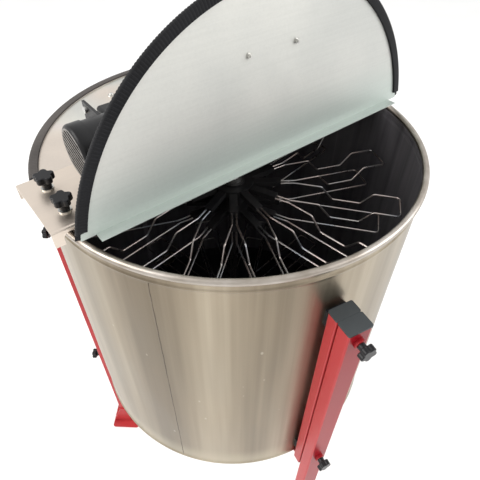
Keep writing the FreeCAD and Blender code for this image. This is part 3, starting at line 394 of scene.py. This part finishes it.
def mat_rear_lid():
    """Top of the rear lid: satin sheet, mottled between cool grey and a faintly warm grey."""
    m, nt, bs = new_mat("rear_lid_satin")
    p = co(nt)
    cloud = noise(nt, mapped(nt, p, scale=(7, 7, 7)), 1.0, 4.0, 0.5, 0.6)
    warm = noise(nt, mapped(nt, p, loc=(0.4, 0.9, 0.0), scale=(3.2, 3.2, 3.2)), 1.0, 2.0, 0.5)
    cool = ramp(nt, cloud, [(0.32, srgb(206, 208, 204)), (0.50, srgb(220, 221, 214)), (0.64, srgb(228, 220, 226)), (0.78, srgb(216, 228, 222))])
    warmc = ramp(nt, cloud, [(0.35, srgb(222, 206, 192)), (0.6, srgb(234, 216, 202)), (0.75, srgb(236, 196, 178))])
    f = span(nt, warm, 0.46, 0.62, 0.0, 0.7)
    col = mix(nt, f, cool, warmc)
    fleck = noise(nt, p, 300.0, 2.0, 0.7)
    col = mix(nt, 0.3, col, ramp(nt, fleck, [(0.3, (0.90, 0.90, 0.90)), (0.6, (1, 1, 1))]), "MULTIPLY")
    put(nt, bs.inputs["Base Color"], col)
    bs.inputs["Metallic"].default_value = 0.85
    put(nt, bs.inputs["Roughness"], mth(nt, "MULTIPLY_ADD", cloud, 0.14, 0.30))
    put(nt, bs.inputs["Normal"], bump(nt, fleck, 0.00005, 0.4))
    return m


def mat_bottom():
    """Drum bottom: its upper side, inside the drum, painted dark as shade; plain satin below."""
    m, nt, bs = new_mat("bottom_two_sided")
    p = co(nt)
    # painted shade: faces pointing up, inside the drum, take the dark colour and faces pointing down the pale one
    up = span(nt, sep(nt, normal_of(nt))[2], -0.2, 0.2, smooth=False)
    fog = noise(nt, p, 9.0, 4.0, 0.55, 0.4)
    dark = ramp(nt, fog, [(0.3, (0.050, 0.048, 0.052)), (0.7, (0.120, 0.114, 0.114))])
    pale = ramp(nt, fog, [(0.3, (0.42, 0.38, 0.32)), (0.7, (0.60, 0.56, 0.49))])
    put(nt, bs.inputs["Base Color"], mix(nt, up, pale, dark))
    bs.inputs["Metallic"].default_value = 0.9
    put(nt, bs.inputs["Roughness"], mth(nt, "MULTIPLY_ADD", fog, 0.2, 0.26))
    put(nt, bs.inputs["Normal"], bump(nt, fog, 0.0006, 0.3))
    return m


def mat_rim():
    m, nt, bs = new_mat("rim_bead")
    p = co(nt)
    x, y, z = sep(nt, p)
    n = noise(nt, mapped(nt, p, scale=(18, 18, 60)), 1.0, 4.0, 0.55)
    scratch = noise(nt, mapped(nt, p, scale=(70, 70, 900)), 1.0, 3.0, 0.6)
    col = ramp(nt, n, [(0.3, (0.30, 0.26, 0.215)), (0.5, (0.44, 0.395, 0.35)), (0.7, (0.56, 0.52, 0.48))])
    col = mix(nt, 0.4, col, ramp(nt, scratch, [(0.3, (0.78, 0.77, 0.76)), (0.6, (1, 1, 1))]), "MULTIPLY")
    put(nt, bs.inputs["Base Color"], col)
    bs.inputs["Metallic"].default_value = 1.0
    put(nt, bs.inputs["Roughness"], mth(nt, "MULTIPLY_ADD", n, 0.12, 0.32))
    put(nt, bs.inputs["Normal"], bump(nt, scratch, 0.00005, 0.4))
    return m


def mat_seam():
    m, nt, bs = new_mat("weld_seam")
    p = co(nt)
    n = noise(nt, mapped(nt, p, scale=(60, 60, 700)), 1.0, 3.0, 0.6)
    big = noise(nt, mapped(nt, p, scale=(5, 5, 16)), 1.0, 2.0)
    col = ramp(nt, mth(nt, "MULTIPLY_ADD", n, 0.5, mth(nt, "MULTIPLY", big, 0.5)), [(0.35, (0.055, 0.045, 0.040)), (0.65, (0.17, 0.14, 0.11))])
    put(nt, bs.inputs["Base Color"], col)
    bs.inputs["Metallic"].default_value = 1.0
    put(nt, bs.inputs["Roughness"], mth(nt, "MULTIPLY_ADD", n, 0.2, 0.3))
    put(nt, bs.inputs["Normal"], bump(nt, n, 0.0001, 0.6))
    return m


M = {
    "drum": mat_drum(),
    "inner": mat_inner(),
    "rim": mat_rim(),
    "seam": mat_seam(),
    "bottom": mat_bottom(),
    "bridge": mat_sheet("bridge_satin", srgb(216, 196, 176), srgb(198, 178, 160), 0.36, (5, 190, 190), 0.30, 6.0, 0.00004, 1.0, srgb(206, 192, 180)),
    "sheet": mat_sheet("stainless_satin", srgb(206, 194, 174), srgb(168, 156, 136), 0.30, (160, 160, 5), 0.4, 9.0, 0.00005, 1.0, srgb(192, 172, 146)),
    "lid": mat_lid_inside(),
    "rear": mat_rear_lid(),
    "wire": mat_wire(),
    "red": mat_red(),
    "black_paint": mat_plastic("black_enamel", (0.004, 0.004, 0.0045), (0.009, 0.009, 0.010), 0.34, 420.0, 0.00008, 0.30, 0.28),
    "knob": mat_plastic("knob_plastic", (0.004, 0.004, 0.005), (0.010, 0.010, 0.012), 0.30, 800.0, 0.00006, 0.5, 0.30),
    "cap": mat_plastic("cap_plastic", (0.015, 0.018, 0.020), (0.030, 0.035, 0.038), 0.46, 700.0, 0.00014, 0.35, 0.25),
    "hub": mat_plastic("hub_plastic", (0.007, 0.007, 0.008), (0.016, 0.015, 0.015), 0.45, 700.0, 0.0001, 0.3, 0.4),
    "vent": mat_plastic("vent_plastic", (0.150, 0.138, 0.130), (0.270, 0.250, 0.232), 0.40, 700.0, 0.00008, 0.0, 0.3),
    "void": mat_plastic("vent_shadow", (0.001, 0.001, 0.001), (0.003, 0.003, 0.003), 0.80, 300.0, 0.00008, 0.0, 0.05),
    "rubber": mat_rubber("trim_rubber", (0.005, 0.005, 0.006), (0.012, 0.012, 0.014), 0.60, 0.18),
    # the rear trim's rubber is given lighter colours than the front's: a painted sheen of rubber seen at a glancing
    # angle
    "painted_sheen_rubber": mat_rubber("trim_rubber_painted_sheen", (0.052, 0.047, 0.044), (0.105, 0.094, 0.088), 0.66, 0.22),
    "shaft": mat_sheet("shaft_ground", (0.72, 0.70, 0.68), (0.50, 0.48, 0.47), 0.18, (160, 160, 5), 0.3, 30.0, 0.00002, 1.0),
    "zinc": mat_zinc(),
    "gear": mat_gear(),
}

PAINT = {
    "drum_bottom": "bottom", "bottom_crossbar": "sheet", "bottom_bearing": "zinc",
    "outlet_spout": "sheet", "gate_blade": "sheet", "gate_screw": "zinc",
    "bracket_tubes": "red", "leg_tubes": "red", "foot_plates": "red", "tube_caps": "cap", "leg_pads": "rubber",
    "bracket_bolts": "gear", "bridge_plate": "bridge", "clamp_lugs": "bridge", "knob_washers": "zinc",
    "top_bearing_housing": "zinc", "bridge_bolts": "zinc", "motor_body": "black_paint", "motor_vent_cover": "vent",
    "motor_bracket": "black_paint", "pinion_bearing_block": "black_paint", "terminal_box": "black_paint", "cable_gland": "knob",
    "bevel_wheel": "gear", "bevel_pinion": "gear", "pinion_shaft": "zinc", "motor_fan": "hub", "gear_cover": "sheet",
    "main_shaft": "shaft", "upper_hub": "hub", "lower_hub": "hub", "upper_loops": "wire", "upper_rests": "wire",
    "lower_loops": "wire", "lower_rests": "wire", "hub_collars": "zinc", "bridge_hinge_leaves": "zinc", "hinge_pins": "zinc",
    "drum_wall": "drum",
    "front_lid_panel": "lid", "front_lid_trim": "rubber", "front_lid_handle": "knob", "front_lid_nuts": "zinc", "front_lid_leaves": "zinc",
    "rear_lid_panel": "rear", "rear_lid_trim": "painted_sheen_rubber", "rear_lid_handle": "knob", "rear_lid_nuts": "zinc", "rear_lid_leaves": "zinc",
}
for n, o in NODES.items():
    key = PAINT.get(n) or ("knob" if "knob" in n else "sheet")
    for s in o.material_slots:
        s.material = M[key]
    if not o.material_slots:
        o.data.materials.append(M[key])


# ------------------------------------------------------------------ mesh kit
def piece(label, verts, faces, mats, body, index=None, smooth=True, node_names=()):
    me = bpy.data.meshes.new(label)
    me.from_pydata([tuple(v) for v in verts], [], faces)
    me.validate()
    o = bpy.data.objects.new(label, me)
    scene.collection.objects.link(o)
    for k in mats:
        me.materials.append(M[k])
    if index is not None:
        for p, i in zip(me.polygons, index):
            p.material_index = i
    for p in me.polygons:
        p.use_smooth = smooth
    bm = bmesh.new()
    bm.from_mesh(me)
    bmesh.ops.recalc_face_normals(bm, faces=bm.faces)
    bm.to_mesh(me)
    bm.free()
    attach(o, body)
    if node_names:
        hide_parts(*node_names)
    return o


def sharp_edges(o, angle):
    """Keep edges sharper than the angle crisp on a smooth-shaded mesh."""
    bm = bmesh.new()
    bm.from_mesh(o.data)
    for e in bm.edges:
        if len(e.link_faces) == 2:
            e.smooth = e.calc_face_angle(0.0) < math.radians(angle)
    bm.to_mesh(o.data)
    bm.free()


# ------------------------------------------------------------------ the drum
def build_drum():
    seg = 288
    wall, skin = 0.3200, 0.3188
    prof = []          # (r, z, material) material of the band that starts here
    curl_c, curl_r = 0.3200 - 0.0002, 0.0024
    for q in range(0, 9):
        a = math.radians(200 + q * 160 / 8)
        prof.append((curl_c + curl_r * math.cos(a), BASE + curl_r + curl_r * math.sin(a), 0))
    prof.append((wall, BASE + 0.0056, 0))
    zs = [BASE + 0.0095, BASE + 0.0135]
    z = BASE + 0.0165
    while z < BASE + 0.056:
        zs.append(z)
        z += 0.0042
    zs += [BASE + 0.064]
    k = 20
    z0, z1 = BASE + 0.082, RIM - 0.031
    zs += [z0 + (z1 - z0) * i / k for i in range(k + 1)]
    outer_rows = []
    for z in zs:
        prof.append((wall, z, 0))
        outer_rows.append(len(prof) - 1)
    sw = RIM - 0.023
    for q in range(-4, 5):
        t = q / 4.0
        prof.append((wall + 0.0016 * (0.5 + 0.5 * math.cos(math.pi * t)), sw + 0.0036 * t, 0))
    prof.append((wall, RIM - 0.0145, 0))
    prof.append((wall, RIM - 0.0112, 1))
    bc, br = 0.3198, 0.0052
    for q in range(0, 25):
        a = math.radians(-86 + q * 350 / 24)
        prof.append((bc + br * math.cos(a), RIM - br + br * math.sin(a), 1))
    prof.append((skin, RIM - 0.0112, 2))
    prof.append((skin, RIM - 0.018, 2))
    prof.append((skin, sw + 0.0036, 2))
    prof.append((skin + 0.0011, sw, 2))
    prof.append((skin, sw - 0.0036, 2))
    for z in reversed(zs):
        prof.append((skin, z, 2))
    prof.append((skin, BASE + 0.0056, 2))
    n = len(prof)
    verts, faces, index = [], [], []
    for s in range(seg):
        a = 2 * math.pi * (s + 0.5) / seg
        ca, sa = math.cos(a), math.sin(a)
        for r, z, k_ in prof:
            # slight unevenness of thin rolled sheet, none at rim, swage and bottom curl
            w = max(0.0, min(1.0, (z - BASE - 0.03) / 0.08)) * max(0.0, min(1.0, (RIM - 0.035 - z) / 0.08))
            dr = 0.00022 * w * (math.sin(5 * a + 3.1 * z * 6) + 0.7 * math.sin(11 * a - 9 * z + 1.0) + 0.5 * math.sin(17 * a + 14 * z))
            verts.append(((r + dr) * ca, (r + dr) * sa, z))
    hole = []
    cz, cr = BASE + 0.035, 0.0215
    for s in range(seg):
        t = (s + 1) % seg
        for q in range(n):
            w = (q + 1) % n
            quad = (s * n + q, s * n + w, t * n + w, t * n + q)
            c = sum((Vector(verts[i]) for i in quad), Vector()) / 4
            if c.y > 0 and math.hypot(c.x, c.z - cz) < cr:
                hole.append(quad)
                continue
            faces.append(quad)
            index.append(prof[q][2])
    # the edge of the outlet hole is drawn to a true circle, and the two skins are joined there
    used = {}
    for fc in faces:
        for i in range(4):
            e = tuple(sorted((fc[i], fc[(i + 1) % 4])))
            used[e] = used.get(e, 0) + 1
    holeset = set()
    for fc in hole:
        for i in range(4):
            holeset.add(tuple(sorted((fc[i], fc[(i + 1) % 4]))))
    edge = [e for e in holeset if used.get(e) == 1]
    for i in sorted({i for e in edge for i in e}):
        x, y, z = verts[i]
        rad = math.hypot(x, y)
        d = math.hypot(x, z - cz)
        x2, z2 = x * cr / d, cz + (z - cz) * cr / d
        verts[i] = (x2, math.sqrt(rad * rad - x2 * x2), z2)
    twin = {}
    rows = {}
    for i, (r, z, k_) in enumerate(prof):
        rows.setdefault(round(z, 6), []).append(i)
    for q in range(n):
        same = [j for j in rows[round(prof[q][1], 6)] if j != q]
        if len(same) == 1:
            twin[q] = same[0]
    for a, b in edge:
        qa, qb = a % n, b % n
        if prof[qa][0] > 0.3195 and prof[qb][0] > 0.3195 and qa in twin and qb in twin:
            faces.append((a, b, b - qb + twin[qb], a - qa + twin[qa]))
            index.append(2)
    # drop the corners that only the removed patch used
    keep = sorted({i for fc in faces for i in fc})
    new = {old: i for i, old in enumerate(keep)}
    o = piece("drum_shell", [verts[i] for i in keep], [tuple(new[i] for i in fc) for fc in faces],
              ["drum", "rim", "inner"], "stand", index, True, ("drum_wall",))
    return o


def build_seam():
    """The vertical weld line of the rolled sheet, a hair proud of the wall."""
    a0 = math.radians(-147.7)
    half = 0.00085
    verts, faces = [], []
    rows = 60
    z0, z1 = BASE + 0.006, RIM - 0.028
    for i in range(rows + 1):
        z = z0 + (z1 - z0) * i / rows
        wob = 0.00025 * math.sin(i * 1.7) + 0.00018 * math.sin(i * 0.63 + 1)
        for off, lift in ((-half, -0.0006), (-half * 0.6, 0.00032), (0.0, 0.00052), (half * 0.6, 0.00032), (half, -0.0006)):
            a = a0 + (off + wob) / 0.32
            r = 0.32 + lift
            w = max(0.0, min(1.0, (z - BASE - 0.03) / 0.08)) * max(0.0, min(1.0, (RIM - 0.035 - z) / 0.08))
            r += 0.00022 * w * (math.sin(5 * a + 3.1 * z * 6) + 0.7 * math.sin(11 * a - 9 * z + 1.0) + 0.5 * math.sin(17 * a + 14 * z))
            verts.append((r * math.cos(a), r * math.sin(a), z))
    m = 5
    for i in range(rows):
        for j in range(m - 1):
            faces.append((i * m + j, i * m + j + 1, (i + 1) * m + j + 1, (i + 1) * m + j))
    for i in range(rows):
        faces.append((i * m + m - 1, i * m, (i + 1) * m, (i + 1) * m + m - 1))
    faces.append(tuple(range(m)))
    faces.append(tuple(reversed(range(rows * m, rows * m + m))))
    return piece("drum_seam", verts, faces, ["seam"], "stand")


# ------------------------------------------------------------------ ribbed trims
PIN_Y, PIN_Z = -0.076, RIM + 0.022
LID_Z = RIM + 0.005


def swung(v, deg):
    a = math.radians(deg)
    y, z = v[1] - PIN_Y, v[2] - PIN_Z
    return (v[0], PIN_Y + y * math.cos(a) - z * math.sin(a), PIN_Z + y * math.sin(a) + z * math.cos(a))


def build_trim(label, body, side, deg, mat_key, node_name):
    """Push-on rubber edging: a rounded channel with a rib every few millimetres."""
    r0, r1, h = 0.3140, 0.3290, 0.0044
    outline = []
    def arc(cx, cz, rad, a0, a1, k):
        for i in range(k + 1):
            a = math.radians(a0 + (a1 - a0) * i / k)
            outline.append((cx + rad * math.cos(a), cz + rad * math.sin(a)))
    arc(r1 - 0.0040, h - 0.0040, 0.0040, 0, 90, 4)
    arc(r0 + 0.0016, h - 0.0016, 0.0016, 90, 170, 2)
    outline.append((r0 + 0.0002, 0.0007))
    outline.append((r0 + 0.0002, -0.0007))
    arc(r0 + 0.0016, -h + 0.0016, 0.0016, 190, 270, 2)
    arc(r1 - 0.0040, -h + 0.0040, 0.0040, 270, 360, 4)
    cx, cz = (r0 + r1) / 2, 0.0
    n = len(outline)
    a_end = math.asin(0.0666 / r0)
    pitch = 0.0044 / 0.3215
    total = math.pi - 2 * a_end
    count = int(total / pitch)
    step = total / count
    stations = []
    for c in range(count):
        b = a_end + c * step
        for f, deep in ((0.0, 1.0), (0.14, 0.0), (0.62, 0.0), (0.76, 1.0)):
            stations.append((b + f * step, deep))
    stations.append((a_end + total, 1.0))
    stations[0] = (stations[0][0], 0.0)
    stations[-1] = (stations[-1][0], 0.0)
    verts, faces = [], []
    for a, deep in stations:
        t = a + math.pi if side < 0 else a
        for r, z in outline:
            dx, dz = r - cx, z - cz
            reach = 1.0 - deep * 0.085 * (1.0 if dx > -0.006 else 0.3)
            rr, zz = cx + dx * (1.0 - deep * 0.05 * (dx > 0)), z * reach
            if abs(rr * math.sin(t)) < 0.0788 and zz < 0.0007:
                zz = 0.0007 + (zz + 0.0044) * 0.02     # no lower lip beside the hinge line, where it would foul the rim
            v = (rr * math.cos(t), rr * math.sin(t), LID_Z + zz)
            verts.append(swung(v, deg) if deg else v)
    m = len(stations)
    for i in range(m - 1):
        for j in range(n):
            k = (j + 1) % n
            faces.append((i * n + j, i * n + k, (i + 1) * n + k, (i + 1) * n + j))
    faces.append(tuple(range(n)))
    faces.append(tuple(reversed(range((m - 1) * n, m * n))))
    index = []
    for i in range(m - 1):
        near_end = min(stations[i][0] - a_end, a_end + total - stations[i][0]) < 0.014 / 0.3215
        index += [1 if near_end else 0] * n
    index += [1, 1]
    o = piece(label, verts, faces, [mat_key, "rubber"], body, index, True, (node_name,))
    sharp_edges(o, 28)
    return o


# ------------------------------------------------------------------ fan cowl
def build_cowl():
    """Fan cowl of the motor: rounded cup whose end is crossed by slanted louvres."""
    x0, x1 = -0.266, -0.244
    rad = 0.040
    seg = 72
    prof = [(x1, rad), (x0 + 0.006, rad)]
    for q in range(1, 7):
        a = math.radians(q * 90 / 6)
        prof.append((x0 + 0.006 - 0.006 * math.sin(a), rad - 0.006 + 0.006 * math.cos(a)))
    prof += [(x0, 0.0335), (x0 + 0.0012, 0.0325), (x0 + 0.0035, 0.0325), (x0 + 0.0035, 0.0375), (x0 + 0.006, 0.0385), (x1, 0.0385)]
    n = len(prof)
    verts, faces = [], []
    for s in range(seg):
        a = 2 * math.pi * s / seg
        for x, r in prof:
            verts.append((x, r * math.cos(a), AXIS_Z + r * math.sin(a)))
    for s in range(seg):
        t = (s + 1) % seg
        for q in range(n):
            w = (q + 1) % n
            faces.append((s * n + q, s * n + w, t * n + w, t * n + q))
    tilt = math.radians(22)
    cup_faces = len(faces)
    along = Vector((0, math.cos(tilt), math.sin(tilt)))
    cross = Vector((0, -math.sin(tilt), math.cos(tilt)))
    pitch = 0.0078
    bars = int(0.0325 / pitch)
    for b in range(-bars, bars + 1):
        off = b * pitch
        half = math.sqrt(max(0.0, 0.0338 ** 2 - off ** 2))
        if half < 0.006:
            continue
        # section of one louvre: a slanted blade with a rounded front
        sec = [(0.0001, -0.0010), (0.0, -0.0002), (0.0001, 0.0008), (0.0004, 0.0011), (0.0008, 0.0010), (0.0008, -0.0010), (0.0004, -0.0012)]
        base = len(verts)
        for end in (-1, 1):
            for dx, dc in sec:
                v = Vector((x0 + dx, 0, AXIS_Z)) + along * (end * half) + cross * (off + dc)
                verts.append(tuple(v))
        k = len(sec)
        for i in range(k):
            j = (i + 1) % k
            faces.append((base + i, base + j, base + k + j, base + k + i))
        faces.append(tuple(base + i for i in range(k)))
        faces.append(tuple(base + k + i for i in reversed(range(k))))
    # the louvres and the cup's front lip take the lighter vent colour; on the lip it is a painted edge highlight
    index = [0 if i >= cup_faces or (i % n) in (6, 7, 8) else 1 for i in range(len(faces))]
    # a near-black disc behind the bars: painted shade standing in for the dark inside of the cowl
    base = len(verts)
    for xb in (-0.2647, -0.2641):
        verts += [(xb, 0.0324 * math.cos(2 * math.pi * s / seg), AXIS_Z + 0.0324 * math.sin(2 * math.pi * s / seg)) for s in range(seg)]
    faces.append(tuple(base + s for s in range(seg)))
    faces.append(tuple(base + seg + s for s in reversed(range(seg))))
    for s in range(seg):
        t = (s + 1) % seg
        faces.append((base + s, base + t, base + seg + t, base + seg + s))
    index += [2] * (seg + 2)
    o = piece("motor_cowl", verts, faces, ["vent", "black_paint", "void"], "stand", index, True, ("motor_vent_cover",))
    sharp_edges(o, 35)
    return o


def build_lid_screw():
    """Small dome-head screw with a washer in the rear lid."""
    cx, cy, z0 = -0.097, 0.253, LID_Z + 0.0006
    prof = [(0.0068, 0.0), (0.0068, 0.0009), (0.0064, 0.0013), (0.0044, 0.0014), (0.0043, 0.0024), (0.0038, 0.0036), (0.0028, 0.0045), (0.0014, 0.0050)]
    seg = 32
    verts, faces = [], []
    n = len(prof)
    for s in range(seg):
        a = 2 * math.pi * s / seg
        for r, z in prof:
            verts.append((cx + r * math.cos(a), cy + r * math.sin(a), z0 + z))
    for s in range(seg):
        t = (s + 1) % seg
        for q in range(n - 1):
            faces.append((s * n + q, t * n + q, t * n + q + 1, s * n + q + 1))
    faces.append(tuple(s * n + n - 1 for s in range(seg)))
    faces.append(tuple(s * n for s in reversed(range(seg))))
    o = piece("rear_lid_screw", verts, faces, ["zinc"], "rear_lid")
    sharp_edges(o, 40)
    return o


def build_rear_bead():
    """Thin bright bead where the rear lid's sheet meets its rubber edging."""
    sec = [(0.3126, 0.0005), (0.3127, 0.0013), (0.3132, 0.0017), (0.3138, 0.0015), (0.3141, 0.0005)]
    n = len(sec)
    a0 = math.asin(0.0700 / 0.3133)
    m = 121
    verts, faces = [], []
    for i in range(m):
        a = a0 + (math.pi - 2 * a0) * i / (m - 1)
        for rr, zz in sec:
            verts.append((rr * math.cos(a), rr * math.sin(a), LID_Z + zz))
    for i in range(m - 1):
        for j in range(n):
            k = (j + 1) % n
            faces.append((i * n + j, i * n + k, (i + 1) * n + k, (i + 1) * n + j))
    faces.append(tuple(range(n)))
    faces.append(tuple(reversed(range((m - 1) * n, m * n))))
    return piece("rear_lid_bead", verts, faces, ["rim"], "rear_lid")


drum = build_drum()
seam = build_seam()
front_trim = build_trim("front_trim_ribbed", "front_lid", -1, -92.0, "rubber", "front_lid_trim")
# the rear trim takes the lighter rubber, a painted sheen
rear_trim = build_trim("rear_trim_ribbed", "rear_lid", 1, 0.0, "painted_sheen_rubber", "rear_lid_trim")
cowl = build_cowl()
screw = build_lid_screw()
rear_bead = build_rear_bead()


# ------------------------------------------------------------------ floor
def build_floor():
    m, nt, bs = new_mat("studio_floor")
    p = co(nt)
    n = noise(nt, p, 3.0, 3.0)
    put(nt, bs.inputs["Base Color"], ramp(nt, n, [(0.3, (0.93, 0.93, 0.925)), (0.7, (0.955, 0.955, 0.95))]))
    bs.inputs["Roughness"].default_value = 0.9
    bs.inputs["Specular IOR Level"].default_value = 0.1
    seg, rings = 96, [0.0, 1.5, 4.0, 9.0, 20.0]
    verts, faces = [(0, 0, -0.0005)], []
    for r in rings[1:]:
        for s in range(seg):
            a = 2 * math.pi * s / seg
            verts.append((r * math.cos(a), r * math.sin(a), -0.0005))
    for s in range(seg):
        t = (s + 1) % seg
        faces.append((0, 1 + s, 1 + t))
        for k in range(len(rings) - 2):
            a, b = 1 + k * seg, 1 + (k + 1) * seg
            faces.append((a + s, b + s, b + t, a + t))
    me = bpy.data.meshes.new("floor")
    me.from_pydata(verts, [], faces)
    o = bpy.data.objects.new("floor", me)
    me.materials.append(m)
    scene.collection.objects.link(o)
    return o


build_floor()

# ------------------------------------------------------------------ light
world = bpy.data.worlds.new("studio")
scene.world = world
world.use_nodes = True
wt = world.node_tree
wt.nodes.clear()
w_out = wt.nodes.new("ShaderNodeOutputWorld")
w_bg = wt.nodes.new("ShaderNodeBackground")
wt.links.new(w_bg.outputs[0], w_out.inputs["Surface"])
gen = wt.nodes.new("ShaderNodeTexCoord").outputs["Generated"]
up = sep(wt, gen)[2]
w_bg.inputs["Strength"].default_value = 1.0
put(wt, w_bg.inputs["Color"], ramp(wt, up, [(0.0, (0.98, 0.975, 0.965)), (0.30, (0.90, 0.89, 0.87)), (0.75, (1.0, 1.0, 1.0)), (1.0, (1.0, 1.0, 1.0))]))


def area(label, loc, aim, size, size_y, watts, colour=(1, 1, 1), seen=True):
    d = bpy.data.lights.new(label, "AREA")
    d.shape = "RECTANGLE"
    d.size, d.size_y = size, size_y
    d.energy = watts
    d.color = colour
    o = bpy.data.objects.new(label, d)
    o.location = loc
    o.rotation_euler = (Vector(aim) - Vector(loc)).to_track_quat("-Z", "Y").to_euler()
    o.visible_camera = False
    scene.collection.objects.link(o)
    return o


area("key", (-2.6, 1.2, 3.2), (0, 0, 0.9), 2.4, 2.4, 90.0, (1.0, 0.99, 0.97))
area("fill", (2.4, -2.2, 2.6), (0, 0, 0.8), 2.2, 2.2, 55.0, (0.98, 0.99, 1.0))

# ------------------------------------------------------------------ camera
pitch = math.radians(44.455)
roll = math.radians(0.6587)
d = Vector((0.6313 * math.cos(pitch), 0.7756 * math.cos(pitch), -math.sin(pitch))).normalized()
right = d.cross(Vector((0, 0, 1))).normalized()
upv = right.cross(d)
r2 = math.cos(roll) * right + math.sin(roll) * upv
u2 = -math.sin(roll) * right + math.cos(roll) * upv
cam_data = bpy.data.cameras.new("camera")
cam_data.sensor_width = 36.0
cam_data.sensor_fit = "HORIZONTAL"
cam_data.lens = 33.578
cam_data.clip_start = 0.01
cam_data.clip_end = 100.0
cam = bpy.data.objects.new("camera", cam_data)
cam.matrix_world = Matrix((
    (r2.x, u2.x, -d.x, -0.41158),
    (r2.y, u2.y, -d.y, -0.52879),
    (r2.z, u2.z, -d.z, 1.52054),
    (0, 0, 0, 1)))
scene.collection.objects.link(cam)
scene.camera = cam
